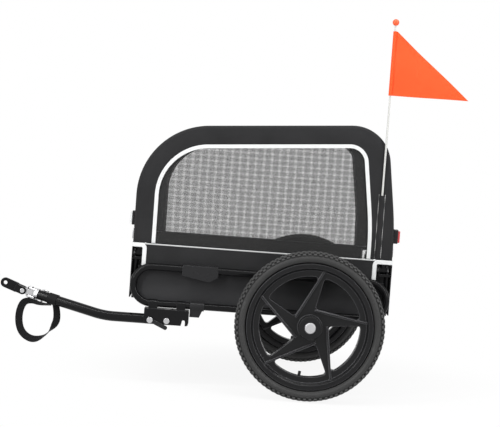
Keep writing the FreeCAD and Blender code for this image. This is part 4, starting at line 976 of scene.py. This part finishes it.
def cabin_path(inset, foot):
    radii = (0, FRONT_ROUND - inset, REAR_ROUND - inset, BEND_ROUND - inset, 0)
    return path_points(inset_outline(inset, inset, inset, foot), radii, LINE_STEPS, ARC_STEPS)


def window_path(inset, foot):
    corners = inset_outline(*[own + inset for own in WINDOW_INSETS], foot)
    radii = (0, WINDOW_FRONT_ROUND - inset, WINDOW_REAR_ROUND - inset, BEND_ROUND - inset, 0)
    return path_points(corners, radii, LINE_STEPS, ARC_STEPS)


def outline_place(outline, place):
    """Point and outward direction at a counted place, whole or not, along the cabin outline."""
    index = min(int(place), len(outline) - 2)
    point = outline[index].lerp(outline[index + 1], place - index)
    before = outline[max(index - 1, 0)]
    after = outline[min(index + 1 if place == index else index + 2, len(outline) - 1)]
    along = (after - before).normalized()
    return point, Vector((-along.y, along.x))


def walk_index(outline, start, turn, distance):
    """The counted place that lies a distance along the outline from one of its ends."""
    index = start
    while 0 <= index + turn < len(outline):
        step = (outline[index + turn] - outline[index]).length
        if distance <= step:
            return index + turn * distance / step
        distance -= step
        index += turn
    return index


def cover_point(fabric, outline, place, spread, lift):
    """A point on the sagging cover, lifted off it for trim."""
    inner = SIDE - COVER_GAP - fabric.edge_round
    point, out = outline_place(outline, place)
    hang = math.sin(math.pi * min(1.0, max(0.0, (spread + inner) / (2 * inner)))) ** HANG_POWER
    sink = fabric.roof_sag * hang * min(1.0, (point.y - HEM) / COVER_FOOT)
    sink += wrinkled((point.x, spread, point.y), fabric.wrinkle) * hang
    seat = point - out * (sink - lift)
    return Vector((seat.x, spread, seat.y))


# Operators

class TRAILER_OT_finishes(bpy.types.Operator):
    """Make every material of the trailer"""
    bl_idname = "trailer.finishes"
    bl_label = "Finishes"

    def execute(self, context):
        fabric = context.scene.trailer_fabric
        colours = context.scene.trailer_colours
        GROUPS["weave"] = weave_group()
        GROUPS["net"] = net_group()
        GROUPS["surface"] = surface_group()
        GROUPS["lens"] = prism_group()
        cloth = tuple(colours.cloth)
        MATERIALS["cloth"] = cloth_material("cabin_cloth", cloth, **CABIN_WEAVE)
        MATERIALS["tub"] = cloth_material("tub_cloth", cloth, painted_floor_light=TUB_PAINTED_FLOOR_LIGHT, **CABIN_WEAVE)
        MATERIALS["zip"] = zip_material("door_zip", cloth)
        MATERIALS["net"] = net_material(
            "window_net", tuple(colours.thread), fabric.mesh_pitch, fabric.mesh_row)
        MATERIALS["tape"] = tape_material("reflective_tape", tuple(colours.tape))
        MATERIALS["piping"] = tape_material("pale_piping", scaled(colours.tape, PIPING_SHADE))
        MATERIALS["webbing"] = webbing_material("black_webbing", tuple(colours.paint))
        MATERIALS["flag"] = flag_material("orange_cloth", tuple(colours.flag))
        MATERIALS["rubber"] = rubber_material("tyre_rubber", tuple(colours.rubber))
        MATERIALS["red"] = lens_material("red_lens", tuple(colours.red))
        MATERIALS["clear"] = lens_material("clear_lens", tuple(colours.clear))
        hard = {
            "paint": ("black_paint", tuple(colours.paint)),
            "moulding": ("black_moulding", tuple(colours.moulding)),
            "rim": ("wheel_moulding", scaled(colours.moulding, RIM_SHADE)),
            "steel": ("bright_steel", tuple(colours.steel)),
            "ball": ("orange_plastic", tuple(colours.flag)),
            "rod": ("white_rod", tuple(colours.rod)),
            "thread": ("pale_thread", STITCH_COLOUR),
        }
        for finish, (name, base) in hard.items():
            MATERIALS[finish] = hard_material(name, base, **HARD_FINISHES[finish])
        return {"FINISHED"}


class TRAILER_OT_stage(bpy.types.Operator):
    """Make the floor, the light and the camera"""
    bl_idname = "trailer.stage"
    bl_label = "Stage"

    def execute(self, context):
        self.add_floor()
        self.add_world(context)
        for lamp in LAMPS:
            self.add_lamp(context, *lamp)
        self.add_camera(context)
        context.scene.view_settings.view_transform = "Standard"
        return {"FINISHED"}

    def add_floor(self):
        """A wide floor that is seen white away from the trailer."""
        deselect_all()
        bpy.ops.mesh.primitive_plane_add(size=FLOOR_SIZE, location=(0.0, 0.0, -FLOOR_DROP))
        floor = bpy.context.object
        floor.name = "floor"
        material, tree, shader = new_material("floor_white")
        set_values(shader, Base_Color=FLOOR_COLOUR, Roughness=0.9, Specular_IOR_Level=0.0)
        glow = tree.nodes.new("ShaderNodeEmission")
        glow.inputs["Strength"].default_value = 1.0
        away = tree.nodes.new("ShaderNodeVectorMath")
        away.operation = "LENGTH"
        tree.links.new(place_in(tree), away.inputs[0])
        share = ramp_between(tree, away.outputs["Value"], *FLOOR_WHITE_RADII, *FLOOR_WHITE_SHARES)
        mask = math_node(tree, "MULTIPLY", seen_directly(tree), share)
        mixed_surface(tree, mask, shader, glow, "Material Output")
        floor.data.materials.append(material)

    def add_world(self, context):
        """Soft light from all round, seen white."""
        world = bpy.data.worlds.new("studio")
        context.scene.world = world
        world.use_nodes = True
        tree = world.node_tree
        light = tree.nodes["Background"]
        set_values(light, Color=WHITE, Strength=WORLD_STRENGTH)
        seen_white = tree.nodes.new("ShaderNodeBackground")
        set_values(seen_white, Color=WHITE, Strength=1.0)
        mixed_surface(tree, seen_directly(tree), light, seen_white, "World Output")

    def add_lamp(self, context, name, place, width, height, power):
        lamp = bpy.data.lights.new(name, "AREA")
        lamp.shape = "RECTANGLE"
        lamp.energy = power
        lamp.size = width
        lamp.size_y = height
        holder = bpy.data.objects.new(name, lamp)
        holder.location = place
        aim = Vector(LAMP_TARGET) - Vector(place)
        holder.rotation_euler = aim.to_track_quat("-Z", "Y").to_euler()
        context.collection.objects.link(holder)

    def add_camera(self, context):
        camera = bpy.data.cameras.new("photo_camera")
        camera.sensor_width = CAMERA_SENSOR
        camera.lens = CAMERA_LENS
        camera.clip_end = CAMERA_FAR
        pitch = math.radians(CAMERA_PITCH)
        tilt = math.radians(CAMERA_TILT)
        right = Vector((math.cos(pitch), 0.0, math.sin(pitch)))
        down = math.sin(tilt)
        ahead = Vector((down * math.sin(pitch), math.cos(tilt), -down * math.cos(pitch)))
        turn = Matrix((right, right.cross(ahead), -ahead)).transposed().to_4x4()
        holder = bpy.data.objects.new("photo_camera", camera)
        holder.matrix_world = Matrix.Translation(Vector(CAMERA_PLACE)) @ turn
        context.collection.objects.link(holder)
        context.scene.camera = holder


class TRAILER_OT_hard_parts(bpy.types.Operator):
    """Give the solid metal and plastic nodes their finishes"""
    bl_idname = "trailer.hard_parts"
    bl_label = "Metal and plastic"

    def execute(self, context):
        finishes = {
            "paint": (
                "left_side_loop", "right_side_loop", "front_cross_tube", "rear_cross_tube", "axle_tube",
                "front_end_frame", "rear_end_frame", "left_hoop", "right_hoop", "left_hinge_brackets",
                "right_hinge_brackets", "tow_bracket", "tow_arm_tube", "hitch_plate"),
            "steel": (
                "hinge_bolts", "left_axle", "right_axle", "pivot_bolt", "lock_pin", "coupler_shank",
                "coupler_cross", "coupler_pins", "ring_pin", "left_button", "right_button", "left_bearings",
                "right_bearings"),
            "rim": ("left_rim", "right_rim", "left_hub_cap", "right_hub_cap"),
            "moulding": (
                "left_grip", "right_grip", "storage_clip", "keeper_lever", "left_reflector_housings",
                "right_reflector_housings", "floor_board", "left_valve", "right_valve"),
            "red": ("left_rear_lens", "right_rear_lens"),
            "clear": ("left_front_lens", "right_front_lens"),
            "rod": ("flag_rod",),
            "ball": ("flag_ball",),
            "webbing": ("strap_collar",),
        }
        for finish, names in finishes.items():
            for name in names:
                node = NODES[name]
                node.data.materials.clear()
                node.data.materials.append(MATERIALS[finish])
        return {"FINISHED"}


class TRAILER_OT_cover(bpy.types.Operator):
    """Make the cabin's front, roof and back as one curved sheet, with a zip door at each end"""
    bl_idname = "trailer.cover"
    bl_label = "Cabin cover"

    def execute(self, context):
        fabric = context.scene.trailer_fabric
        outline = cabin_path(0.0, HEM)
        half = SIDE - COVER_GAP
        inner = half - fabric.edge_round

        def turned_edge(point, out, side):
            lip = point - out * (fabric.edge_round + fabric.lip)
            edge = [Vector((lip.x, side * half, lip.y))]
            for step in range(EDGE_STEPS):
                angle = math.pi / 2 * step / EDGE_STEPS
                place = point - out * (fabric.edge_round * (1 - math.sin(angle)))
                spread = half - fabric.edge_round * (1 - math.cos(angle))
                edge.append(Vector((place.x, side * spread, place.y)))
            return edge

        def build(work):
            rows = []
            for index in range(len(outline)):
                point, out = outline_place(outline, index)
                middle = []
                for column in range(COVER_COLUMNS + 1):
                    spread = inner * (2 * column / COVER_COLUMNS - 1)
                    middle.append(cover_point(fabric, outline, index, spread, 0.0))
                rows.append(turned_edge(point, out, -1) + middle + turned_edge(point, out, 1)[::-1])
            add_rows(work, rows)

        cover = piece_from("cabin_cover", build, CLOTH_ANGLE, fabric.cloth, -1.0)
        finish_piece(cover, "cloth", "base", "cabin_fabric", "front_panel", "roof_cover", "rear_panel")
        trim = []
        for name, start, turn in (("front", 0, 1), ("rear", len(outline) - 1, -1)):
            trim += self.door(fabric, name, outline, start, turn)
        for piece in [cover] + trim:
            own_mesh(piece)
        return {"FINISHED"}

    def door(self, fabric, name, outline, start, turn):
        """A zip sewn round a roll-up door, with a slider at each foot."""
        corners = (
            (ZIP_FOOT, -ZIP_SPREAD), (ZIP_RISE, -ZIP_SPREAD), (ZIP_RISE, ZIP_SPREAD), (ZIP_FOOT, ZIP_SPREAD),
        )
        line = path_points(corners, (0, ZIP_ROUND, ZIP_ROUND, 0), ZIP_LINE_STEPS, ZIP_ARC_STEPS)

        def on_cover(place, lift):
            return cover_point(fabric, outline, walk_index(outline, start, turn, place.x), place.y, lift)

        def build(work):
            rows = []
            for place, across in zip(line, steps_across(line, ZIP_HALF)):
                rows.append([on_cover(place + across * share, lift) for share, lift in ZIP_SECTION])
            made = add_rows(work, rows)
            across_shares = [(share + 1) / 2 for share, lift in ZIP_SECTION]
            add_uv(work, "zip", made, running_lengths(line), across_shares)

        band = piece_from(name + "_door_zip", build, ROUND_ANGLE)
        finish_piece(band, "zip", "base")
        return [band, self.sliders(name, line, on_cover)]

    def sliders(self, name, line, on_cover):
        """A slider with a hanging tongue on both feet of a zip."""
        plates = []
        for place in (line[SLIDER_STEP], line[-1 - SLIDER_STEP]):
            seat = on_cover(place, SLIDER_SIZE[0] / 2)
            out = (on_cover(place, SLIDER_SIZE[0]) - seat).normalized()
            low = seat + out * (SLIDER_SIZE[0] / 2) - Vector((0.0, 0.0, TONGUE_DROP))
            plates.append(self.plate(seat, SLIDER_SIZE, SLIDER_EDGE))
            plates.append(self.plate(low, TONGUE_SIZE, TONGUE_EDGE))
        sliders = joined(plates)
        sliders.name = sliders.data.name = name + "_zip_sliders"
        close_mesh(sliders)
        smooth(sliders, TRIM_ANGLE)
        return finish_piece(sliders, "steel", "base")

    def plate(self, place, size, edge):
        """A small plate with rounded edges and sunk faces."""
        plate = cube(place, size)
        least = size[1] * size[2] / 4
        bpy.ops.object.mode_set(mode="EDIT")
        bpy.ops.mesh.select_all(action="SELECT")
        bpy.ops.mesh.bevel(offset=edge, segments=2)
        select_faces(plate, lambda face: abs(face.normal.x) > TOP_SHARE and face.calc_area() > least)
        bpy.ops.mesh.inset(thickness=edge, depth=-edge / 2)
        bpy.ops.object.mode_set(mode="OBJECT")
        return plate


class TRAILER_OT_sides(bpy.types.Operator):
    """Make the side panels, their mesh windows and the reflective tape"""
    bl_idname = "trailer.sides"
    bl_label = "Cabin sides"

    def execute(self, context):
        fabric = context.scene.trailer_fabric
        tape = piece_from(
            "left_window_tape", lambda work: self.tape(work, fabric), TRIM_ANGLE, TAPE_CLOTH, -1.0)
        tapes = (tape, mirror_copy(tape, "right_window_tape"))
        for piece, body in zip(tapes, ("left_side", "right_side")):
            finish_piece(piece, "tape", body)
        panel = piece_from(
            "left_side_cloth", lambda work: self.panel(work, fabric), CLOTH_ANGLE, fabric.cloth)
        self.place(panel, "cloth", "side_cloth", "cabin_fabric", "side_panel", SIDE_FLAT, SIDE_AREA, tapes)
        net = piece_from("left_window_net", self.net, ROUND_ANGLE)
        self.place(net, "net", "window_net", "window_mesh", "window_mesh", NET_FLAT, NET_AREA)
        return {"FINISHED"}

    def panel(self, work, fabric):
        """Cloth between the cabin outline and the window, and the sill under the window."""
        outer = cabin_path(SIDE_INSET, SIDE_FOOT)
        window = window_path(0.0, WINDOW_SILL)

        def cloth_point(share, pair):
            place = pair[0].lerp(pair[1], share)
            point = Vector((place.x, SIDE_PLANE, place.y))
            slack = math.sin(math.pi * share)
            point.y -= SIDE_PUFF * slack + wrinkled(point, fabric.wrinkle * SIDE_WRINKLE_SHARE) * slack
            return point

        def sill_point(height, share):
            return Vector((window[0].lerp(window[-1], share).x, SIDE_PLANE, height))

        add_sheet(work, shares(SIDE_STEPS), list(zip(outer, window)), cloth_point)
        add_sheet(work, (WINDOW_SILL, SIDE_FOOT), shares(SILL_COLUMNS), sill_point)
        for end, share in ((outer[0], 0.0), (outer[-1], 1.0)):
            foot = Vector((end.x, SIDE_PLANE, end.y))
            corners = (foot, sill_point(SIDE_FOOT, share), sill_point(WINDOW_SILL, share))
            work.faces.new([work.verts.new(point) for point in corners])

    def tape(self, work, fabric):
        """Reflective tape round the window."""
        rows = []
        for share, lift in TAPE_SECTION:
            path = window_path(fabric.tape_width / 2 * share, HEM + TAPE_LIFT)
            rows.append([Vector((point.x, SIDE_PLANE - TAPE_LIFT - lift, point.y)) for point in path])
        add_rows(work, rows)

    def net(self, work):
        """The window's net, with a slight belly inwards."""
        edge = window_path(-NET_MARGIN, WINDOW_SILL - NET_MARGIN)

        def net_point(index, share):
            place = edge[index].lerp(edge[-1 - index], share)
            height_share = min(1.0, (place.y - HEM) / NET_BELLY_HEIGHT)
            belly = math.sin(math.pi * share) * math.sin(math.pi * height_share)
            return Vector((place.x, SIDE_PLANE + NET_SINK + NET_BELLY * belly, place.y))

        add_sheet(work, range(len(edge) // 2 + 1), shares(NET_COLUMNS), net_point)

    def place(self, left, material, name, slot, node, flat, area, tapes=()):
        """A sheet on the left side and its twin on the right."""
        right = mirror_copy(left, "right_" + name)
        for index, (piece, side) in enumerate(((left, "left"), (right, "right"))):
            finish_piece(piece, material, side + "_side", slot, side + "_" + node)
            list(tapes[index:index + 1])


class TRAILER_OT_tub(bpy.types.Operator):
    """Make the fabric tub, its pale hem and the corner tapes"""
    bl_idname = "trailer.tub"
    bl_label = "Tub"

    def execute(self, context):
        fabric = context.scene.trailer_fabric
        low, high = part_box("tub_walls")
        front, rear = low[0], high[0]
        half = high[1] - fabric.cloth / 2
        floor, foot, top = low[2], low[2] - TUB_HANG, high[2]
        cuts = (
            (LOOP_TOP, CUT_TOP, front + CUT_FRONT, rear - CUT_REAR),
            (foot, LOOP_TOP, front + NOTCH, rear - NOTCH),
        )
        marks = (front, front + NOTCH, front + CUT_FRONT, rear - CUT_REAR, rear - NOTCH, rear)
        stations = self.spaced(marks, TUB_STATION_STEPS)
        heights = self.spaced((foot, NOTCH_LOW, LOOP_TOP, CUT_TOP, top), TUB_HEIGHT_STEPS)

        def is_cut(x, z):
            return any(under < z < over and not ahead < x < behind for under, over, ahead, behind in cuts)

        def slack_at(height, share):
            """Nought at an edge, where the cloth is pulled straight, and one away from it."""
            return max(0.0, min(1.0, share, min(height - foot, top - height) / TAUT_HEIGHT))

        def wall_point(x, z, side):
            point = Vector((x, side * half, z))
            push = WALL_SINK + wrinkled(point, fabric.wrinkle * WALL_WRINKLE_SHARE, TUB_WRINKLE_SCALE)
            from_end = min(x - front, rear - x) / TAUT_LENGTH
            point.y -= side * push * slack_at(z, from_end)
            return point

        def end_point(station, turn, height, share):
            height = max(height, floor)
            point = Vector((station, -half + 2 * half * share, height))
            push = END_SINK + wrinkled(point, fabric.wrinkle, TUB_WRINKLE_SCALE)
            from_edge = min(share, 1 - share) / TAUT_WIDTH_SHARE
            point.x -= turn * push * slack_at(height, from_edge)
            return point

        def add_wall(work, side):
            for ahead, behind in zip(stations, stations[1:]):
                for under, over in zip(heights, heights[1:]):
                    if is_cut((ahead + behind) / 2, (under + over) / 2):
                        continue
                    corners = ((ahead, under), (behind, under), (behind, over), (ahead, over))
                    verts = [work.verts.new(wall_point(x, z, side)) for x, z in corners]
                    work.faces.new(verts if side < 0 else verts[::-1])

        def build(work):
            for side in (-1, 1):
                add_wall(work, side)
            for end in ((front + END_INSET, -1), (rear - END_INSET, 1)):
                add_sheet(work, heights, shares(TUB_END_COLUMNS), lambda *place: end_point(*end, *place))

        tub = piece_from("tub_cloth", build, CLOTH_ANGLE, fabric.cloth)
        finish_piece(tub, "tub", "base", "cabin_fabric", "tub_walls")
        trim = [self.hem(fabric, front, rear, half, top), self.corner_tapes(front, rear, half, top)]
        return {"FINISHED"}

    def spaced(self, marks, counts):
        """Places between marks, with a count of steps for each gap."""
        places = [marks[0]]
        for start, end, count in zip(marks, marks[1:], counts):
            places += [start + (end - start) * step / count for step in range(1, count + 1)]
        return places

    def hem(self, fabric, front, rear, half, top):
        """A pale band round the tub's upper edge."""
        height = fabric.hem_height
        level = top - height * HEM_DROP_SHARE
        ring = []
        for index, (x, y) in enumerate(((front, -half), (rear, -half), (rear, half), (front, half))):
            inwards = (math.copysign(HEM_BEND, x - (front + rear) / 2), math.copysign(HEM_BEND, y))
            centre = Vector((x, y)) - Vector(inwards)
            for step in range(HEM_BEND_STEPS + 1):
                angle = math.pi + math.pi / 2 * (index + step / HEM_BEND_STEPS)
                ring.append((centre, Vector((math.cos(angle), math.sin(angle)))))

        def build(work):
            rows = []
            for reach, lift in HEM_SECTION + HEM_SECTION[:1]:
                places = [centre + way * (HEM_BEND + HEM_REACH * reach) for centre, way in ring]
                rows.append([Vector((place.x, place.y, level + height * lift)) for place in places])
            add_rows(work, rows, closed=True)

        return finish_piece(piece_from("tub_hem", build, ROUND_ANGLE), "piping", "base")

    def corner_tapes(self, front, rear, half, top):
        """Pale tapes along the hem to each corner cut-out, then down its edge."""
        middle = CORNER_TAPE / 2
        level = top - middle

        def build(work):
            for side in (-1, 1):
                for end, edge in ((front, front + CUT_FRONT), (rear, rear - CUT_REAR)):
                    corners = ((end, level), (edge, level), (edge, LOOP_TOP + TAPE_LIFT))
                    line = path_points(corners, (0, CORNER_ROUND, 0), CORNER_LINE_STEPS, CORNER_ARC_STEPS)
                    across = steps_across(line, middle)
                    rows = []
                    for share, lift in CORNER_SECTION:
                        out = side * (half + TAPE_LIFT + lift)
                        places = [point + step * share for point, step in zip(line, across)]
                        rows.append([Vector((place.x, out, place.y)) for place in places])
                    add_rows(work, rows)

        return finish_piece(piece_from("corner_tapes", build, TRIM_ANGLE, CORNER_CLOTH), "tape", "base")


class TRAILER_OT_tyres(bpy.types.Operator):
    """Make the knobbly tyres"""
    bl_idname = "trailer.tyres"
    bl_label = "Tyres"

    def execute(self, context):
        left = joined([self.carcass(), self.tread()])
        close_mesh(left)
        smooth(left, TYRE_ANGLE)
        right = mirror_copy(left, "right_tread_tyre")
        finish_piece(left, "rubber", "left_wheel", "tyre_rubber", "left_tyre")
        finish_piece(right, "rubber", "right_wheel", "tyre_rubber", "right_tyre")
        return {"FINISHED"}

    def carcass(self):
        """The tyre's body: a flattened ring with raised lines round its walls."""
        deselect_all()
        bpy.ops.mesh.primitive_torus_add(
            location=WHEEL_CENTRE, rotation=(math.pi / 2, 0.0, 0.0), major_segments=TYRE_ROUND_STEPS,
            minor_segments=TYRE_WALL_STEPS, major_radius=TYRE_MIDDLE, minor_radius=TYRE_DEPTH / 2,
            generate_uvs=False)
        tyre = bpy.context.object
        tyre.name = tyre.data.name = "left_tread_tyre"
        bpy.ops.object.transform_apply(location=True, rotation=True, scale=True)
        bpy.ops.object.mode_set(mode="EDIT")
        bpy.ops.mesh.select_all(action="SELECT")
        bpy.ops.transform.resize(value=(1.0, TYRE_WIDTH / TYRE_DEPTH, 1.0), center_override=WHEEL_CENTRE)

        def on_ring(face):
            centre = face.calc_center_median()
            radius = math.hypot(centre.x, centre.z - AXLE)
            on_wall = abs(centre.y + WHEEL_PLANE) > TYRE_WIDTH / 4
            return on_wall and any(low < radius < high for low, high in WALL_RINGS)

        select_faces(tyre, on_ring)
        bpy.ops.mesh.extrude_region_shrink_fatten(TRANSFORM_OT_shrink_fatten={"value": WALL_RING_RISE})
        bpy.ops.object.mode_set(mode="OBJECT")
        return tyre

    def tread(self):
        """Every tread block, made once for one pitch and carried round the wheel."""
        blocks = joined([self.block(side, *row) for side in (-1, 1) for row in TREAD_ROWS])
        bpy.ops.object.mode_set(mode="EDIT")
        bpy.ops.mesh.select_all(action="SELECT")
        turn = 2 * math.pi * (TREAD_COUNT - 1) / TREAD_COUNT
        bpy.ops.mesh.spin(
            steps=TREAD_COUNT - 1, dupli=True, angle=turn, center=WHEEL_CENTRE, axis=(0.0, 1.0, 0.0))
        bpy.ops.object.mode_set(mode="OBJECT")
        return blocks

    def block(self, side, aside, radius, lean, across, along, tall, phase):
        """One tread block, narrowed towards its top and with broken edges."""
        place = Vector((0.0, side * aside - WHEEL_PLANE, AXLE + radius))
        up = Vector((0.0, side * math.sin(lean), math.cos(lean)))
        block = cube(place, (along, across, tall), (-side * lean, 0.0, 0.0))
        bpy.ops.object.mode_set(mode="EDIT")
        select_faces(block, lambda face: face.normal.dot(up) > TOP_SHARE)
        bpy.ops.transform.resize(value=(BLOCK_TOP_SHARE,) * 3, center_override=place + up * (tall / 2))
        bpy.ops.mesh.select_all(action="SELECT")
        bpy.ops.mesh.bevel(offset=BLOCK_EDGE, segments=1)
        bpy.ops.transform.rotate(
            value=2 * math.pi * phase / TREAD_COUNT, orient_axis="Y", center_override=WHEEL_CENTRE)
        bpy.ops.object.mode_set(mode="OBJECT")
        return block


class TRAILER_OT_flag(bpy.types.Operator):
    """Make the flag's cloth and its sewn pocket"""
    bl_idname = "trailer.flag"
    bl_label = "Flag and pocket"

    def execute(self, context):
        low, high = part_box("flag_rod")
        rod_x = (low[0] + high[0]) / 2
        rod_y = (low[1] + high[1]) / 2
        self.pennant(rod_x, rod_y)
        self.pocket(rod_x)
        return {"FINISHED"}

    def pennant(self, rod_x, rod_y):
        """A waving triangle of cloth with a sleeve round the rod."""

        def cloth_point(share, along):
            width = FLAG_FLY * (1 - share) + FLAG_TIP * share
            station = rod_x + SLEEVE_RADIUS * SLEEVE_SEAM_SHARE + width * along
            whole = (station - rod_x) / FLAG_FLY
            swing = FLAG_SWING * math.sin(whole * FLAG_SWING_TURN) * min(1.0, whole / FLAG_SWING_START_SHARE)
            up_turn, along_turn = FLAG_RIPPLE_TURNS
            ripple = FLAG_RIPPLE * math.sin(share * up_turn + whole * along_turn)
            height = FLAG_LOW + (FLAG_HIGH - FLAG_LOW) * share
            return Vector((station, rod_y + swing - FLAG_LEAN * whole + ripple, height))

        def sleeve_point(share, turn):
            angle = 2 * math.pi * turn
            depth = SLEEVE_RADIUS * SLEEVE_DEPTH_SHARE
            height = FLAG_LOW + (FLAG_HIGH - FLAG_LOW) * share
            return Vector((rod_x + SLEEVE_RADIUS * math.cos(angle), rod_y + depth * math.sin(angle), height))

        def build(work):
            add_sheet(work, shares(FLAG_ROWS), shares(FLAG_COLUMNS), cloth_point)
            add_sheet(work, shares(FLAG_ROWS), shares(SLEEVE_STEPS), sleeve_point)

        flag = piece_from("flag_pennant", build, ROUND_ANGLE, FLAG_CLOTH)
        finish_piece(flag, "flag", "flag", "orange_fabric", "flag_cloth")

    def pocket(self, rod_x):
        """A narrow pocket that bulges round the rod."""
        low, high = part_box("flag_pocket")
        back = high[1] - POCKET_SINK

        def pocket_point(share, along):
            station = low[0] + (high[0] - low[0]) * along
            crown = math.exp(-((station - rod_x) / POCKET_BULGE_REACH) ** 2)
            up_turn, along_turn = POCKET_RIPPLE_TURNS
            ripple = POCKET_RIPPLE * math.sin(share * up_turn + along * along_turn)
            bulge = POCKET_RISE + POCKET_BULGE * crown + ripple
            return Vector((station, back - bulge, low[2] + (high[2] - low[2]) * share))

        def build(work):
            add_sheet(work, shares(POCKET_ROWS), shares(POCKET_COLUMNS), pocket_point)

        pocket = piece_from("flag_sleeve", build, ROUND_ANGLE, POCKET_CLOTH)
        finish_piece(pocket, "cloth", "left_side", "cabin_fabric", "flag_pocket")
        thread = self.stitching(low, high, back)

    def stitching(self, low, high, back):
        """Stitches up both edges of the pocket and along its mouth."""
        up = Vector((0.0, 0.0, 1.0))
        along = Vector((1.0, 0.0, 0.0))

        def build(work):
            for station in (low[0] + STITCH_INSET, high[0] - STITCH_INSET):
                foot = Vector((station, back - EDGE_STITCH_LIFT, low[2] + EDGE_STITCH_START))
                for step in range(EDGE_STITCH_COUNT):
                    self.stitch(work, foot + up * (step * EDGE_STITCH_PITCH), up * EDGE_STITCH_RUN, along)
            mouth = Vector((low[0] + STITCH_INSET, back - MOUTH_STITCH_LIFT, high[2] - MOUTH_STITCH_DROP))
            for step in range(MOUTH_STITCH_COUNT):
                self.stitch(work, mouth + along * (step * MOUTH_STITCH_PITCH), along * MOUTH_STITCH_RUN, up)

        return finish_piece(piece_from("pocket_stitching", build, ROUND_ANGLE), "thread", "left_side")

    def stitch(self, work, start, run, across):
        """One raised thread."""
        aside = across * STITCH_HALF
        middle = start + run / 2 - Vector((0.0, STITCH_RISE, 0.0))
        add_rows(work, [[place - aside, place + aside] for place in (start, middle, start + run)])


class TRAILER_OT_strap(bpy.types.Operator):
    """Make the webbing safety strap"""
    bl_idname = "trailer.strap"
    bl_label = "Safety strap"

    def execute(self, context):
        route = [Vector((-station, STRAP_SPREAD, height)) for station, height in STRAP_ROUTE]
        line = self.smooth_line(route)

        def build(work):
            rows = []
            for index, place in enumerate(line):
                turn = self.twist(index / (len(line) - 1))
                along = heading(line, index)
                flat = Vector((-along.z, 0.0, along.x))
                wide = Vector((0.0, math.cos(turn), 0.0)) + flat * math.sin(turn)
                thin = flat * math.cos(turn) - Vector((0.0, math.sin(turn), 0.0))
                row = []
                for across, lift in STRAP_SECTION:
                    row.append(place + wide * (across * STRAP_WIDTH / 2) + thin * (lift * STRAP_HALF_CLOTH))
                rows.append(row)
            made = add_rows(work, rows, closed=True)
            work.faces.new(made[0])
            work.faces.new(made[-1][::-1])
            across_shares = [(across + 1) / 2 for across, lift in STRAP_SECTION]
            add_uv(work, "strap", made, running_lengths(line), across_shares)

        strap = piece_from("safety_webbing", build, CLOTH_ANGLE)
        finish_piece(strap, "webbing", "tow_arm", "black_webbing", "safety_strap")
        [tuple(point) for point in line]
        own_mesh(strap)
        return {"FINISHED"}

    def smooth_line(self, route):
        """Points along a smooth curve through the route."""
        curve = bpy.data.curves.new("strap_line", "CURVE")
        curve.dimensions = "3D"
        spline = curve.splines.new("NURBS")
        spline.points.add(len(route) - 1)
        for point, place in zip(spline.points, route):
            point.co = (*place, 1.0)
        spline.order_u = 3
        spline.use_endpoint_u = True
        spline.resolution_u = STRAP_STEPS
        holder = bpy.data.objects.new("strap_line", curve)
        bpy.context.collection.objects.link(holder)
        bpy.context.view_layer.update()
        line_mesh = bpy.data.meshes.new_from_object(holder)
        line = [vertex.co.copy() for vertex in line_mesh.vertices]
        bpy.data.objects.remove(holder)
        bpy.data.meshes.remove(line_mesh)
        return line

    def twist(self, share):
        """The strap's twist at a share of its length, eased between the given turns."""
        for (start, first), (end, last) in zip(STRAP_TWIST, STRAP_TWIST[1:]):
            if share <= end:
                part = (share - start) / (end - start)
                eased = part * part * (3 - 2 * part)
                return math.radians(first + (last - first) * eased)
        return math.radians(STRAP_TWIST[-1][1])


class TRAILER_PT_panel(bpy.types.Panel):
    """Lists the trailer's steps"""
    bl_idname = "TRAILER_PT_panel"
    bl_label = "Dog bike trailer"
    bl_space_type = "VIEW_3D"
    bl_region_type = "UI"
    bl_category = "Trailer"

    def draw(self, context):
        for step in STEPS:
            self.layout.operator(step.bl_idname)


STEPS = (
    TRAILER_OT_stage, TRAILER_OT_finishes, TRAILER_OT_strap, TRAILER_OT_hard_parts, TRAILER_OT_cover,
    TRAILER_OT_sides, TRAILER_OT_tub, TRAILER_OT_tyres, TRAILER_OT_flag,
)
CLASSES = (TrailerFabric, TrailerColours) + STEPS + (TRAILER_PT_panel,)


def register():
    for item in CLASSES:
        bpy.utils.register_class(item)
    bpy.types.Scene.trailer_fabric = bpy.props.PointerProperty(type=TrailerFabric)
    bpy.types.Scene.trailer_colours = bpy.props.PointerProperty(type=TrailerColours)


def unregister():
    del bpy.types.Scene.trailer_fabric
    del bpy.types.Scene.trailer_colours
    for item in reversed(CLASSES):
        bpy.utils.unregister_class(item)


def main():
    register()
    bpy.ops.trailer.stage()
    bpy.ops.trailer.finishes()
    bpy.ops.trailer.strap()
    bpy.ops.trailer.hard_parts()
    bpy.ops.trailer.cover()
    bpy.ops.trailer.sides()
    bpy.ops.trailer.tub()
    bpy.ops.trailer.tyres()
    bpy.ops.trailer.flag()


if __name__ == "__main__":
    main()
